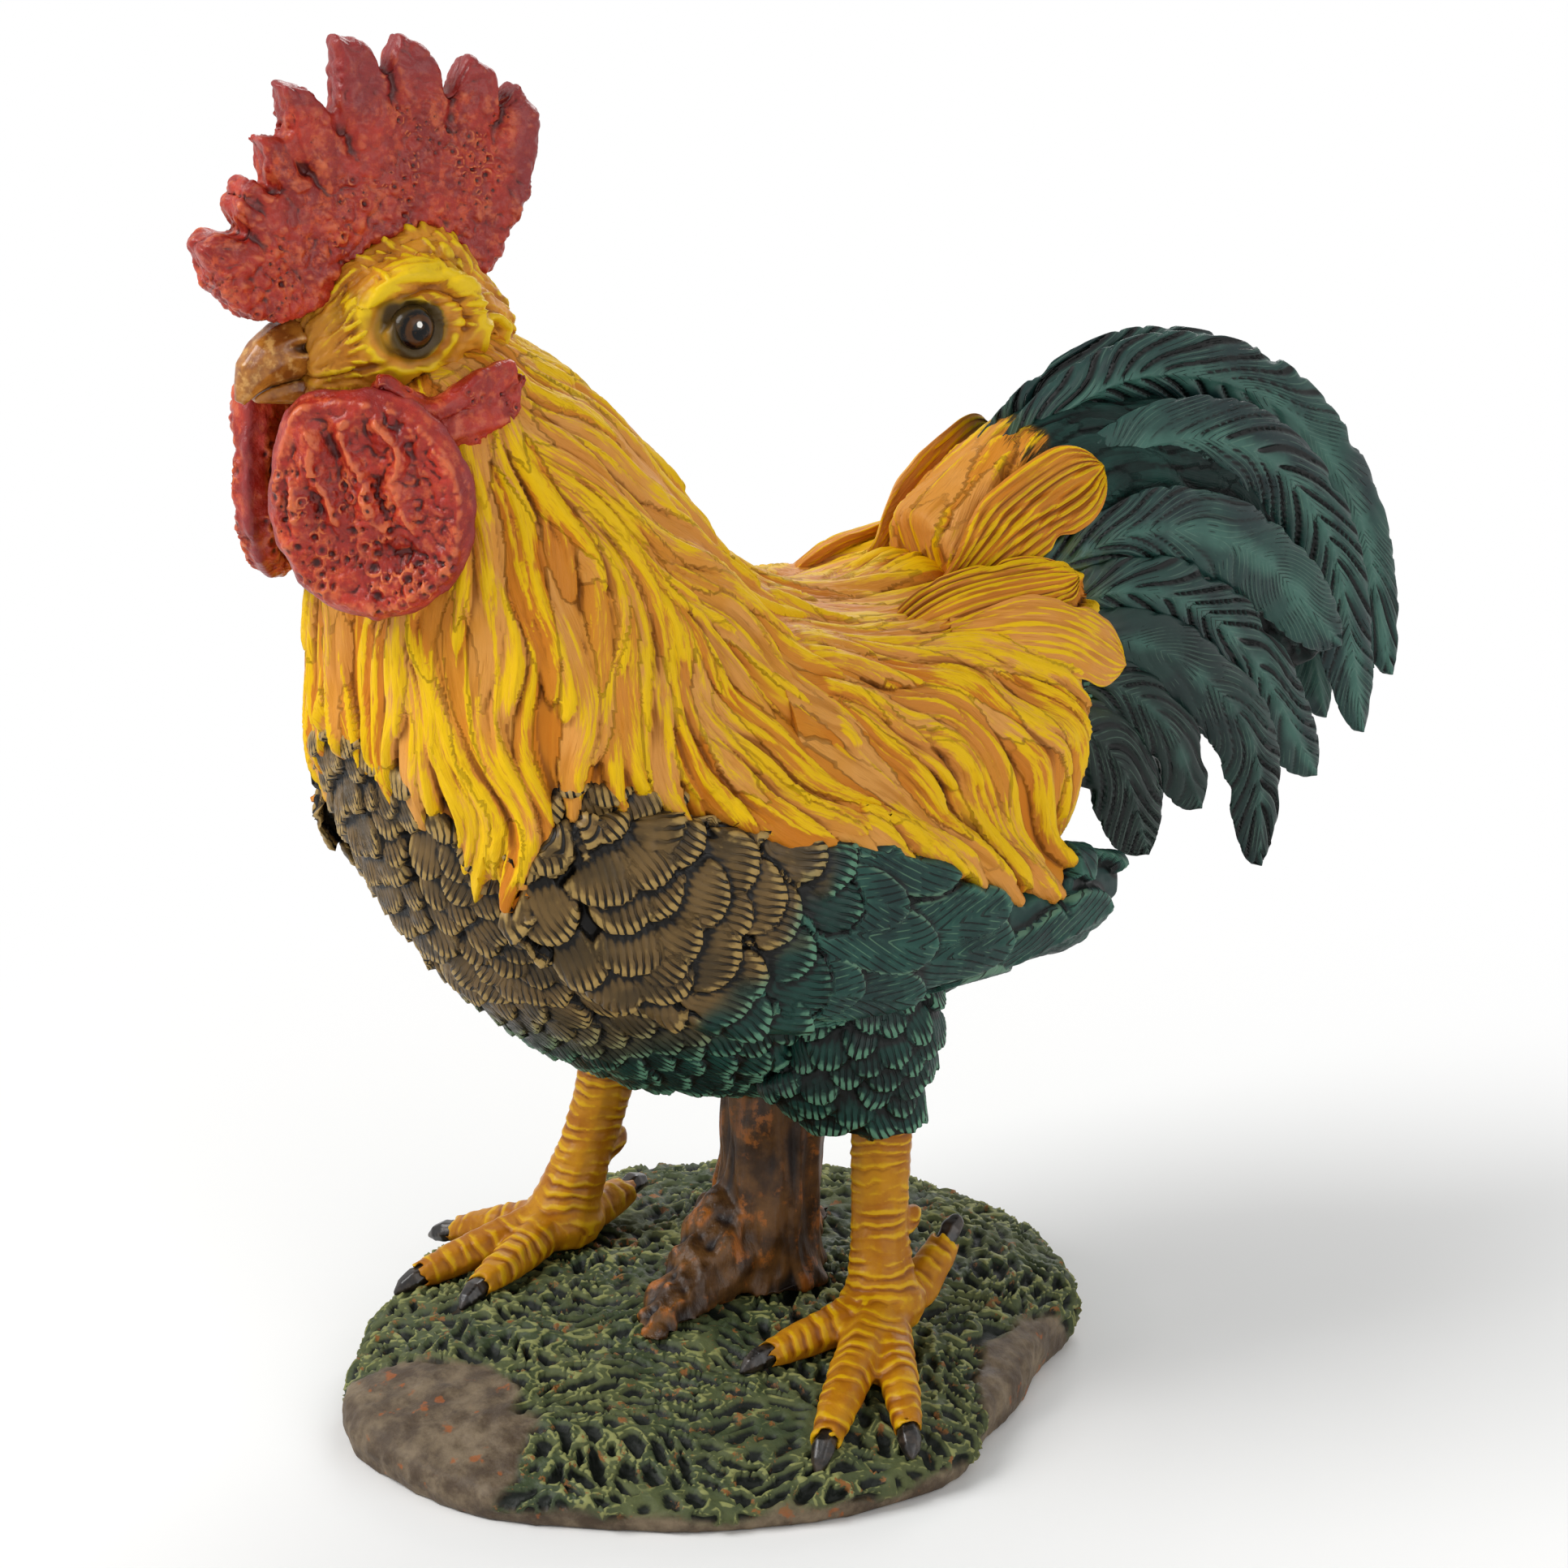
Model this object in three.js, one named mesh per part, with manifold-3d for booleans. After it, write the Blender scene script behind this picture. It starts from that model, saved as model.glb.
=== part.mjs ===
// Painted cast rooster on a mossy mound, in millimetres, +Z up.
// The bird faces -Y and its left side is +X. Each cast or painted piece is a solid of its own,
// and neighbouring pieces are cut to each other with a small seam between them.
import * as THREE from 'three';
import { mergeVertices } from 'three/addons/utils/BufferGeometryUtils.js';
import Module from 'manifold-3d';

const wasm = await Module();
wasm.setup();

// Driving sizes
const seam = 0.35;              // gap between pieces that are seated on each other
const facet = seam * 0.3;       // how far a facet may leave the true surface
const moundRadius = 94;         // mean reach of the mound from its middle
const moundRim = 16;            // greatest height of the shoulder of the mound
const moundCrown = 24;          // height of the middle of the mound
const mossRise = 0.9;           // how far the cushions of moss swell
const mossPitch = 21;           // from the middle of one cushion to the next
const legHeight = 50;           // from the crown of the mound to the belly
const stance = 29;              // how far the left foot stands behind the right foot
const footSpread = 90;          // between the two ankles, across X
const footSway = 4;             // how far both feet stand to the left of the middle
const shankRadius = 7.6;
const toeRadius = 5.2;
const clawLength = 13;
const clawRadius = 3.4;
const rodRadius = 2;            // steel rod inside each leg
const rodBite = 12;             // how deep the rod sits in the mound
const trunkRadius = 13;         // stump where it meets the belly
const bodyWidth = 124;
const neckWidth = 50;
const thighRadius = 23;
const coatLip = 1.6;            // how far the hackle stands out from the breast
const coatDepth = 4.5;          // how deep the hackle is bedded in the body
const lockRise = 1.8;           // from the grooves between the locks of the hackle to their crests
const lockCount = 16;           // locks in the round of the neck
const wingThickness = 11;
const wingHeight = 62;
const headWidth = 47;
const headLength = 56;
const headHeight = 50;
const eyeRadius = 6.6;
const combThickness = 11;
const combHeight = 58;
const beakLength = 24;
const wattleHeight = 56;
const wattleLength = 50;
const wattleThickness = 10;
const lobeThickness = 8;
const tailRootWidth = 46;
const featherThickness = 7;
const plumeThickness = 5;

// Places that pieces share
const crown = new THREE.Vector3(0, -6, moundCrown);
const belly = new THREE.Vector3(0, 0, moundCrown + legHeight);
const onBird = (x, y, z) => new THREE.Vector3(x, y, z).add(belly);
const onGround = (x, y, z) => new THREE.Vector3(x, y, z + crown.z);
const flank = bodyWidth / 2;

// A closed body swept through stations: each has a centre, a half size along side and one along up
function sweep({ path, wide, tall, side, up, steps = 12, sides = 12, power = 2 }) {
  const route = new THREE.CatmullRomCurve3(path, false, 'centripetal');
  const level = (sizes, t) => {
    const place = t * (sizes.length - 1);
    const first = Math.min(Math.floor(place), sizes.length - 2);
    const blend = THREE.MathUtils.smoothstep(place - first, -0.25, 1.25);
    const even = THREE.MathUtils.lerp(place - first, blend, 0.4);
    return THREE.MathUtils.lerp(sizes[first], sizes[first + 1], even);
  };
  const positions = [];
  for (let i = 0; i <= steps; i += 1) {
    const t = i / steps;
    const centre = route.getPoint(t);
    const along = route.getTangent(t);
    const across = side.clone();
    if (!up) across.addScaledVector(along, -across.dot(along)).normalize();
    const rise = up ? up.clone() : new THREE.Vector3().crossVectors(along, across).normalize();
    for (let j = 0; j < sides; j += 1) {
      const turn = (j / sides) * Math.PI * 2;
      const c = Math.cos(turn);
      const s = Math.sin(turn);
      const round = (Math.abs(c) ** power + Math.abs(s) ** power) ** (-1 / power);
      const point = centre.clone();
      point.addScaledVector(across, c * round * level(wide, t));
      point.addScaledVector(rise, s * round * level(tall, t));
      positions.push(point.x, point.y, point.z);
    }
  }
  return closeRings(positions, sides, steps + 1);
}

// Joins rings of points into one closed body, with a fan at each end
function closeRings(positions, sides, rings) {
  const index = [];
  for (let i = 0; i < rings - 1; i += 1) {
    for (let j = 0; j < sides; j += 1) {
      const a = i * sides + j;
      const b = i * sides + ((j + 1) % sides);
      index.push(a, b, a + sides, b, b + sides, a + sides);
    }
  }
  for (const [ring, flip] of [[0, true], [rings - 1, false]]) {
    const start = ring * sides;
    const middle = new THREE.Vector3();
    for (let j = 0; j < sides; j += 1) {
      middle.add(new THREE.Vector3().fromArray(positions, (start + j) * 3));
    }
    middle.divideScalar(sides);
    const hub = positions.length / 3;
    positions.push(middle.x, middle.y, middle.z);
    for (let j = 0; j < sides; j += 1) {
      const a = start + j;
      const b = start + ((j + 1) % sides);
      if (flip) index.push(hub, b, a);
      else index.push(hub, a, b);
    }
  }
  const geometry = new THREE.BufferGeometry();
  geometry.setAttribute('position', new THREE.Float32BufferAttribute(positions, 3));
  geometry.setIndex(index);
  return toSolid(geometry);
}

// Closed geometry to a solid that can be cut; a body that came out inside out is turned
function toSolid(geometry) {
  const bare = geometry.clone();
  bare.deleteAttribute('normal');
  bare.deleteAttribute('uv');
  const merged = mergeVertices(bare, 1e-4);
  const triVerts = new Uint32Array(merged.index.array);
  const vertProperties = new Float32Array(merged.attributes.position.array);
  const made = new wasm.Manifold(new wasm.Mesh({ numProp: 3, vertProperties, triVerts }));
  if (made.volume() > 0) return made;
  for (let i = 0; i < triVerts.length; i += 3) {
    [triVerts[i], triVerts[i + 1]] = [triVerts[i + 1], triVerts[i]];
  }
  return new wasm.Manifold(new wasm.Mesh({ numProp: 3, vertProperties, triVerts }));
}

// Solid to geometry, for a mesh of the scene
function toGeometry(solid) {
  const mesh = solid.getMesh();
  const geometry = new THREE.BufferGeometry();
  const positions = new Float32Array(mesh.vertProperties);
  geometry.setAttribute('position', new THREE.BufferAttribute(positions, 3));
  geometry.setIndex(new THREE.BufferAttribute(new Uint32Array(mesh.triVerts), 1));
  return geometry;
}

// The same solid with its skin moved out by a distance, or in by a negative one.
// A corner moves further than a flat place, so that each face moves by the whole distance.
function swell(solid, distance) {
  const geometry = toGeometry(solid);
  const place = geometry.attributes.position;
  const index = geometry.index;
  const normals = Array.from({ length: place.count }, () => new THREE.Vector3());
  const faces = [];
  for (let i = 0; i < index.count; i += 3) {
    const corners = [0, 1, 2].map((k) => index.getX(i + k));
    const points = corners.map((v) => new THREE.Vector3().fromBufferAttribute(place, v));
    const facing = points[1].clone().sub(points[0]).cross(points[2].clone().sub(points[0])).normalize();
    corners.forEach((v, k) => {
      const ahead = points[(k + 1) % 3].clone().sub(points[k]);
      const behind = points[(k + 2) % 3].clone().sub(points[k]);
      normals[v].addScaledVector(facing, ahead.angleTo(behind));
    });
    faces.push([corners, facing]);
  }
  normals.forEach((normal) => normal.normalize());
  const least = new Float32Array(place.count).fill(1);
  for (const [corners, facing] of faces) {
    for (const v of corners) least[v] = Math.min(least[v], normals[v].dot(facing));
  }
  for (let i = 0; i < place.count; i += 1) {
    const step = normals[i].multiplyScalar(distance / Math.max(least[i], 0.4));
    place.setXYZ(i, place.getX(i) + step.x, place.getY(i) + step.y, place.getZ(i) + step.z);
  }
  return toSolid(geometry);
}

// The largest body of a solid, so that a cut leaves no loose chips
function largest(solid) {
  const bodies = solid.decompose();
  return bodies.reduce((best, body) => (body.volume() > best.volume() ? body : best));
}

// Cuts rooms out of a piece and keeps its largest body
function carve(solid, ...rooms) {
  return largest(rooms.reduce((rest, room) => rest.subtract(room), solid).simplify(facet));
}

// Cuts a piece so that it seats on the pieces that carry it, a seam away
function seat(solid, ...carriers) {
  return carve(solid, ...carriers.map((carrier) => swell(carrier, seam)));
}

const join = (...solids) => solids.reduce((sum, solid) => sum.add(solid));
const mirror = (points) => points.map((p) => new THREE.Vector3(-p.x, p.y, p.z));
const sideways = new THREE.Vector3(1, 0, 0);
const forwards = new THREE.Vector3(0, 1, 0);
const upwards = new THREE.Vector3(0, 0, 1);

// A prism across the bird, from an outline in the Y and Z of its side view
function sidePrism(outline, fromX, toX) {
  const shape = new THREE.Shape(outline.map(([y, z]) => new THREE.Vector2(y, z + belly.z)));
  const prism = new THREE.ExtrudeGeometry(shape, { depth: toX - fromX, bevelEnabled: false });
  prism.rotateX(Math.PI / 2);
  prism.rotateZ(Math.PI / 2);
  prism.translate(fromX, 0, 0);
  return toSolid(prism);
}

const pieces = new Map();
const paint = (color, roughness, metalness = 0) => ({ color, roughness, metalness });
const paints = {
  moss: paint(0x4f5a34, 0.8),
  bark: paint(0x5a3f33, 0.7),
  shank: paint(0xd9922a, 0.5),
  claw: paint(0x1b1712, 0.3),
  steel: paint(0x9a9ca0, 0.4, 1),
  breast: paint(0x5b4a30, 0.6),
  green: paint(0x173f3b, 0.5),
  hackle: paint(0xe0a02c, 0.55),
  face: paint(0xd9952b, 0.5),
  flesh: paint(0x9c2c28, 0.5),
  beak: paint(0xb0702a, 0.3),
  eye: paint(0x1a100b, 0.15),
};
function add(name, solid, finish) {
  pieces.set(name, { solid, finish });
  return solid;
}

// Mound: a round that was shaped by hand, so at each of sixteen even turns, from the left side round
// the rear, it has a bump in its reach and a share of the full height of its shoulder.
const moundTurns = [
  [4, 0.65], [-9, 0.8], [-10, 0.9], [2, 1], [6, 1], [7, 1], [6, 1], [3, 1],
  [-5, 1], [-9, 1], [-8, 0.95], [-1, 0.9], [15, 0.85], [17, 0.7], [10, 0.5], [7, 0.5],
];
// Rings that climb to the crown: the reach as a share of the edge, then how much of the shoulder
// and how much of the dome above it has been climbed
const moundRings = [
  [0.98, 0, 0],
  [1, 0.4, 0],
  [0.99, 0.8, 0],
  [0.945, 1, 0],
  [0.8, 1, 0.42],
  [0.55, 1, 0.74],
  [0.3, 1, 0.94],
  [0.08, 1, 1],
];
const shoulderRing = 3;
// Reach and shoulder height of the mound at a turn about its crown
function moundEdge(turn) {
  const place = ((turn / (Math.PI * 2) + 1) % 1) * moundTurns.length;
  const first = Math.floor(place) % moundTurns.length;
  const blend = THREE.MathUtils.smoothstep(place - Math.floor(place), 0, 1);
  const here = moundTurns[first];
  const next = moundTurns[(first + 1) % moundTurns.length];
  const bump = THREE.MathUtils.lerp(here[0], next[0], blend);
  const share = THREE.MathUtils.lerp(here[1], next[1], blend);
  return { edge: moundRadius + bump, shoulder: moundRim * share };
}
const climb = (shoulder, low, high) => shoulder * low + (moundCrown - shoulder) * high;
// Cushions of moss, in rows that cross, at a place inside the shoulder
function mossAt(x, y, reach) {
  const step = (Math.PI * Math.SQRT2) / mossPitch;
  const fade = THREE.MathUtils.smoothstep(moundRings[shoulderRing][0] - reach, 0, 0.12);
  return mossRise * fade * Math.cos(x * step) * Math.cos(y * step);
}
// The rings inside the shoulder are set closer, so that the cushions of moss show
function makeMound(sides, cuts) {
  const rings = moundRings.slice(0, shoulderRing + 1);
  for (let i = shoulderRing + 1; i < moundRings.length; i += 1) {
    for (let k = 1; k <= cuts; k += 1) {
      rings.push(moundRings[i].map((inner, n) => {
        return THREE.MathUtils.lerp(moundRings[i - 1][n], inner, k / cuts);
      }));
    }
  }
  const positions = [];
  for (const [reach, low, high] of rings) {
    for (let j = 0; j < sides; j += 1) {
      const turn = (j / sides) * Math.PI * 2;
      const { edge, shoulder } = moundEdge(turn);
      const radius = edge * reach;
      const x = crown.x + radius * Math.cos(turn);
      const y = crown.y + radius * Math.sin(turn);
      const moss = low < 1 ? 0 : mossAt(x, y, reach);
      positions.push(x, y, climb(shoulder, low, high) + moss);
    }
  }
  return closeRings(positions, sides, rings.length);
}
// Height of the top of the mound under a point
function groundUnder(point) {
  const turn = Math.atan2(point.y - crown.y, point.x - crown.x);
  const { edge, shoulder } = moundEdge(turn);
  const reach = Math.hypot(point.x - crown.x, point.y - crown.y) / edge;
  const [outermost] = moundRings[shoulderRing];
  const [innermost] = moundRings[moundRings.length - 1];
  const share = THREE.MathUtils.clamp(reach, innermost, outermost);
  const ring = moundRings.findIndex(([inside]) => inside <= share);
  if (ring <= shoulderRing) return shoulder;
  const [inside, , high] = moundRings[ring];
  const [outside, , low] = moundRings[ring - 1];
  return climb(shoulder, 1, THREE.MathUtils.mapLinear(share, inside, outside, high, low));
}
const mound = makeMound(56, 3);

// Body and neck form: sections between a point on the back and one on the front, in the side view.
// The last number is how far the section has grown from the neck's width to the body's.
const sections = [
  [-75, 207, -104, 197, -0.1],
  [-67, 202, -109, 187, 0.02],
  [-54, 193, -109, 174, 0.2],
  [-40, 180, -108, 160, 0.36],
  [-26, 163, -108, 144, 0.52],
  [-13, 147, -108, 127, 0.66],
  [-2, 136, -109, 107, 0.78],
  [10, 130, -105, 85, 0.9],
  [24, 127, -92, 58, 0.98],
  [37, 126, -72, 34, 1],
  [50, 128, -41, 12, 0.97],
  [62, 131, -5, 1, 0.9],
  [74, 135, 30, 8, 0.76],
  [84, 137, 57, 28, 0.55],
  [92, 136, 76, 60, 0.3],
  [97, 130, 90, 95, -0.1],
];
// For the hackle it also has locks: ridges that sway a little on their way down.
function makeForm(steps, sides, ridge = 0) {
  const backs = sections.map(([y, z]) => onBird(0, y, z));
  const fronts = sections.map(([, , y, z]) => onBird(0, y, z));
  const backRail = new THREE.CatmullRomCurve3(backs, false, 'chordal');
  const frontRail = new THREE.CatmullRomCurve3(fronts, false, 'chordal');
  const widths = sections.map(([, , , , grown], i) => {
    return new THREE.Vector3(i, THREE.MathUtils.lerp(neckWidth, bodyWidth, grown) / 2, 0);
  });
  const widthCurve = new THREE.CatmullRomCurve3(widths, false, 'chordal');
  const positions = [];
  for (let i = 0; i <= steps; i += 1) {
    const t = i / steps;
    const power = THREE.MathUtils.lerp(2.3, 1.95, t);
    const back = backRail.getPoint(t);
    const front = frontRail.getPoint(t);
    const middle = back.clone().add(front).multiplyScalar(0.5);
    const rise = back.clone().sub(middle);
    const half = widthCurve.getPoint(t).y;
    const sway = Math.sin(i);
    for (let j = 0; j < sides; j += 1) {
      const turn = (j / sides) * Math.PI * 2;
      const c = Math.cos(turn);
      const s = Math.sin(turn);
      const round = (Math.abs(c) ** power + Math.abs(s) ** power) ** (-1 / power);
      const point = middle.clone().addScaledVector(rise, s * round);
      point.x += c * round * half;
      const lock = (ridge / 2) * Math.cos(turn * lockCount + sway);
      point.addScaledVector(point.clone().sub(middle).normalize(), lock);
      positions.push(point.x, point.y, point.z);
    }
  }
  return closeRings(positions, sides, steps + 1);
}
const form = makeForm(19, 22);

// Hem of the hackle and of the saddle, in the side view, with the long feather tips as zigzags
const hackleHem = [
  [-140, 116], [-112, 110], [-104, 96], [-99, 88], [-93, 77], [-89, 92],
  [-79, 102], [-62, 101], [-44, 96], [-24, 90], [-6, 84],
];
const saddleHem = [
  [-4, 84], [8, 78], [17, 75], [28, 66], [37, 66], [45, 58], [52, 60], [60, 51], [67, 66], [72, 84],
  [78, 104], [84, 118], [140, 134],
];
const seamTop = [4, 240];        // where the hackle meets the saddle above the back
const outer = swell(makeForm(24, lockCount * 4, lockRise), coatLip);
const inner = swell(makeForm(14, 16), -coatDepth);
const bedding = swell(makeForm(14, 16), -coatDepth - seam);
const hackleSide = [...hackleHem, seamTop, [-140, 240]];
const saddleSide = [...saddleHem, [140, 240], [seamTop[0] + seam * 2, seamTop[1]]];
const hackleZone = sidePrism(hackleSide, -bodyWidth, bodyWidth);
const saddleZone = sidePrism(saddleSide, -bodyWidth, bodyWidth);
const coatZone = join(swell(hackleZone, seam), swell(saddleZone, seam));
const coatRoom = swell(outer, seam).intersect(coatZone);

// Tail block: a wedge that starts inside the rump and thins to the rear, under the feathers
const tailRoot = onBird(0, 80, 130);
const fromTail = (x, y, z) => new THREE.Vector3(x, y, z).add(tailRoot);
const tailBlock = sweep({
  path: [
    fromTail(0, -20, -8), fromTail(0, 8, 2), fromTail(0, 36, 8),
    fromTail(0, 66, -2), fromTail(0, 92, -24), fromTail(0, 108, -46),
  ],
  wide: [0.7, 1, 0.86, 0.62, 0.42, 0.2].map((share) => (share * tailRootWidth) / 2),
  tall: [22, 31, 30, 27, 20, 8],
  side: sideways,
  steps: 9,
  sides: 12,
  power: 2.3,
});

// Each foot: how far it stands behind the middle and how far its shank leans to the front.
// Each toe has its turn outwards from straight ahead, how far its claw reaches from the ankle,
// and how high it lifts off the ground at its end.
const feet = {
  left: {
    hand: 1,
    shift: stance / 2 + 1,
    lean: 4,
    toes: { inner: [0, 46, 3], middle: [40, 64, 3], outer: [63, 56, 3], back: [195, 36, 19] },
  },
  right: {
    hand: -1,
    shift: -stance / 2 + 1,
    lean: 14,
    toes: { inner: [-23, 48, 3], middle: [11, 50, 3], outer: [60, 44, 3], back: [165, 36, 8] },
  },
};
function makeLegPath({ hand, shift, lean }) {
  const hipX = hand * (footSpread / 2 - 4);
  const ankleX = hand * (footSpread / 2) + footSway;
  return [
    onBird(hipX, shift + 1, 26),
    onBird(hipX, shift + 1, -4),
    onGround(THREE.MathUtils.lerp(hipX, ankleX, 0.4), shift - lean * 0.45, 24),
    onGround(ankleX, shift - lean, 7),
  ];
}
// Thighs, each with a socket for its leg
function makeThigh({ hand, shift }) {
  const x = footSpread / 2 - 4;
  return sweep({
    path: [
      onBird(hand * (x - 8), shift - 8, 58),
      onBird(hand * (x - 2), shift - 6, 28),
      onBird(hand * x, shift, -2),
    ],
    wide: [thighRadius * 0.9, thighRadius * 0.92, shankRadius + 3],
    tall: [thighRadius * 1.2, thighRadius, shankRadius + 3],
    side: sideways,
    up: forwards,
    steps: 6,
    sides: 12,
  });
}

// A toe goes from the ankle over its knuckles to its end, where the claw carries on
const toeGirth = { inner: 1, middle: 1.08, outer: 0.96, back: 1.05 };
function makeToe(ankle, toeName, { hand, toes }) {
  const [turn, reach, lift] = toes[toeName];
  const angle = THREE.MathUtils.degToRad(turn) * hand;
  const heading = new THREE.Vector3(Math.sin(angle), -Math.cos(angle), 0);
  const across = new THREE.Vector3(Math.cos(angle), Math.sin(angle), 0);
  const path = [ankle.clone().addScaledVector(heading, -2)];
  const length = reach - clawLength * 0.75;
  for (const [share, height] of [[0.32, 6], [0.68, (lift + 5) / 2], [1, lift]]) {
    const point = ankle.clone().addScaledVector(heading, length * share);
    point.z = groundUnder(point) + height;
    path.push(point);
  }
  const girth = toeRadius * toeGirth[toeName];
  const body = sweep({
    path,
    wide: [girth * 1.3, girth * 1.15, girth * 1.05, girth * 0.7],
    tall: [girth * 1.3, girth * 1.1, girth, girth * 0.66],
    side: across,
    steps: 4,
    sides: 7,
  });
  const last = path[path.length - 1];
  const before = path[path.length - 2];
  const fall = last.clone().sub(before).normalize();
  const start = last.clone().addScaledVector(fall, -clawLength * 0.25);
  const middle = last.clone().addScaledVector(fall, clawLength * 0.35);
  const tip = last.clone().addScaledVector(fall, clawLength * 0.75);
  middle.z = Math.max(middle.z, groundUnder(middle) + 2.6);
  tip.z = Math.max(tip.z - clawLength * 0.25, groundUnder(tip) + 0.8);
  const claw = sweep({
    path: [start, middle, tip],
    wide: [clawRadius * 0.8, clawRadius, clawRadius * 0.12],
    tall: [clawRadius * 0.8, clawRadius, clawRadius * 0.12],
    side: across,
    steps: 3,
    sides: 6,
  });
  return { body, claw };
}

function makeLeg(sideName, foot) {
  const path = makeLegPath(foot);
  const shank = sweep({
    path,
    wide: [1.05, 1.05, 0.95, 1.25].map((share) => share * shankRadius),
    tall: [1.05, 1.05, 0.95, 1.25].map((share) => share * shankRadius),
    side: sideways,
    steps: 6,
    sides: 10,
  });
  const ankle = path[path.length - 1];
  const pad = new THREE.SphereGeometry(shankRadius * 1.45, 10, 6);
  pad.scale(1, 1.05, 0.8);
  pad.translate(ankle.x, ankle.y, ankle.z - 2);
  const spur = sweep({
    path: [
      path[2].clone().add(new THREE.Vector3(0, 1, -2)),
      path[2].clone().add(new THREE.Vector3(0, 8, -1)),
      path[2].clone().add(new THREE.Vector3(0, 12, 2)),
    ],
    wide: [4, 4, 1.6],
    tall: [4, 4, 1.6],
    side: sideways,
    steps: 3,
    sides: 7,
  });
  const parts = [shank, toSolid(pad), spur];
  const claws = {};
  for (const toeName of Object.keys(foot.toes)) {
    const { body, claw } = makeToe(ankle, toeName, foot);
    parts.push(body);
    claws[toeName] = claw;
  }
  const rod = sweep({
    path: [
      new THREE.Vector3(ankle.x, ankle.y, moundCrown - rodBite),
      ankle.clone(),
      path[2],
      path[1],
      path[0].clone().add(new THREE.Vector3(0, 0, 14)),
    ],
    wide: [rodRadius, rodRadius],
    tall: [rodRadius, rodRadius],
    side: sideways,
    steps: 6,
    sides: 6,
  });
  add(`${sideName}_leg_rod`, rod, paints.steel);
  for (const [toeName, claw] of Object.entries(claws)) {
    add(`${sideName}_${toeName}_claw`, seat(claw, mound), paints.claw);
  }
  add(`${sideName}_leg`, seat(join(...parts), mound, rod, ...Object.values(claws)), paints.shank);
  return { rod, parts };
}
const left = makeLeg('left', feet.left);
const right = makeLeg('right', feet.right);
add('ground_base', seat(mound, left.rod, right.rod), paints.moss);

// Stump: a trunk under the belly with a long root to the front and a short one to the rear
function makeStump() {
  const trunk = sweep({
    path: [onGround(4, 4, -8), onGround(4, 4, 8), onGround(6, 6, 26), onBird(6, 8, 10)],
    wide: [trunkRadius * 1.7, trunkRadius * 1.25, trunkRadius, trunkRadius],
    tall: [trunkRadius * 1.6, trunkRadius * 1.2, trunkRadius, trunkRadius],
    side: sideways,
    up: forwards,
    steps: 7,
    sides: 12,
  });
  const frontRoot = sweep({
    path: [onGround(4, 0, 14), onGround(10, -18, 3), onGround(20, -38, -4), onGround(29, -50, -12)],
    wide: [13, 10, 6.5, 2.5],
    tall: [14, 11, 6, 2.5],
    side: sideways,
    steps: 5,
    sides: 8,
  });
  const rearRoot = sweep({
    path: [onGround(2, 8, 10), onGround(-12, 28, 1), onGround(-24, 48, -7)],
    wide: [11, 7, 2.5],
    tall: [11, 6, 2.5],
    side: sideways,
    steps: 4,
    sides: 8,
  });
  return join(trunk, frontRoot, rearRoot);
}

const legs = [...left.parts, ...right.parts];
const leftHip = makeThigh(feet.left);
const rightHip = makeThigh(feet.right);
add('left_thigh', seat(leftHip, ...left.parts, left.rod), paints.green);
add('right_thigh', seat(rightHip, ...right.parts, right.rod), paints.green);
add('tree_stump', seat(makeStump(), mound, form, ...legs, leftHip, rightHip), paints.bark);
const cores = [tailBlock, leftHip, rightHip, left.rod, right.rod];
add('body_core', seat(form.subtract(coatZone.subtract(bedding)), ...cores), paints.breast);
add('neck_cape', carve(outer.intersect(hackleZone), inner), paints.hackle);
add('saddle_cape', seat(carve(outer.intersect(saddleZone), inner), tailBlock), paints.hackle);
add('tail_core', tailBlock, paints.green);

// Wings: flat pads on the flanks, tucked under the hem of the hackle and the saddle
function makeWing(hand) {
  return sweep({
    path: [
      onBird(hand * (flank - 18), -94, 84),
      onBird(hand * (flank - 9), -77, 79),
      onBird(hand * (flank - 1), -44, 71),
      onBird(hand * flank, -8, 66),
      onBird(hand * (flank - 5), 34, 58),
      onBird(hand * (flank - 12), 66, 53),
      onBird(hand * (flank - 16), 86, 52),
    ],
    wide: [2, 0.5, 0.95, 1, 0.85, 0.6, 0.2].map((share, i) => (i ? share * wingThickness : share)),
    tall: [0.16, 0.36, 0.48, 0.43, 0.27, 0.2, 0.08].map((share) => share * wingHeight),
    side: sideways,
    up: upwards,
    steps: 11,
    sides: 12,
    power: 2.4,
  });
}
for (const [sideName, hand] of [['left', 1], ['right', -1]]) {
  const rooms = [form, hand > 0 ? leftHip : rightHip].map((carrier) => swell(carrier, seam));
  add(`${sideName}_wing`, carve(makeWing(hand), coatRoom, ...rooms), paints.green);
}

// Head on top of the neck, with eye sockets
const headAt = onBird(0, -92, 209);
const onHead = (x, y, z) => new THREE.Vector3(x, y, z).add(headAt);
function makeHead() {
  const skull = sweep({
    path: [
      onHead(0, -headLength / 2, -4),
      onHead(0, -headLength / 4, -1),
      onHead(0, headLength / 9, 0),
      onHead(0, headLength / 2.4, -6),
    ],
    wide: [headWidth * 0.22, headWidth * 0.43, headWidth / 2, headWidth * 0.28],
    tall: [headHeight * 0.2, headHeight * 0.42, headHeight / 2, headHeight * 0.24],
    side: sideways,
    up: upwards,
    steps: 8,
    sides: 14,
  });
  const brow = new THREE.SphereGeometry(1, 12, 8);
  brow.scale(headWidth * 0.46, 15, 9);
  brow.translate(headAt.x, headAt.y - 7, headAt.z + 11);
  return join(skull, toSolid(brow));
}
function makeEye(hand) {
  const ball = new THREE.SphereGeometry(eyeRadius, 12, 8);
  ball.scale(0.8, 1, 0.95);
  ball.translate(hand * (headWidth / 2 - eyeRadius * 0.5), headAt.y - 9, headAt.z + 3);
  return toSolid(ball);
}
const leftEye = makeEye(1);
const rightEye = makeEye(-1);
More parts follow.
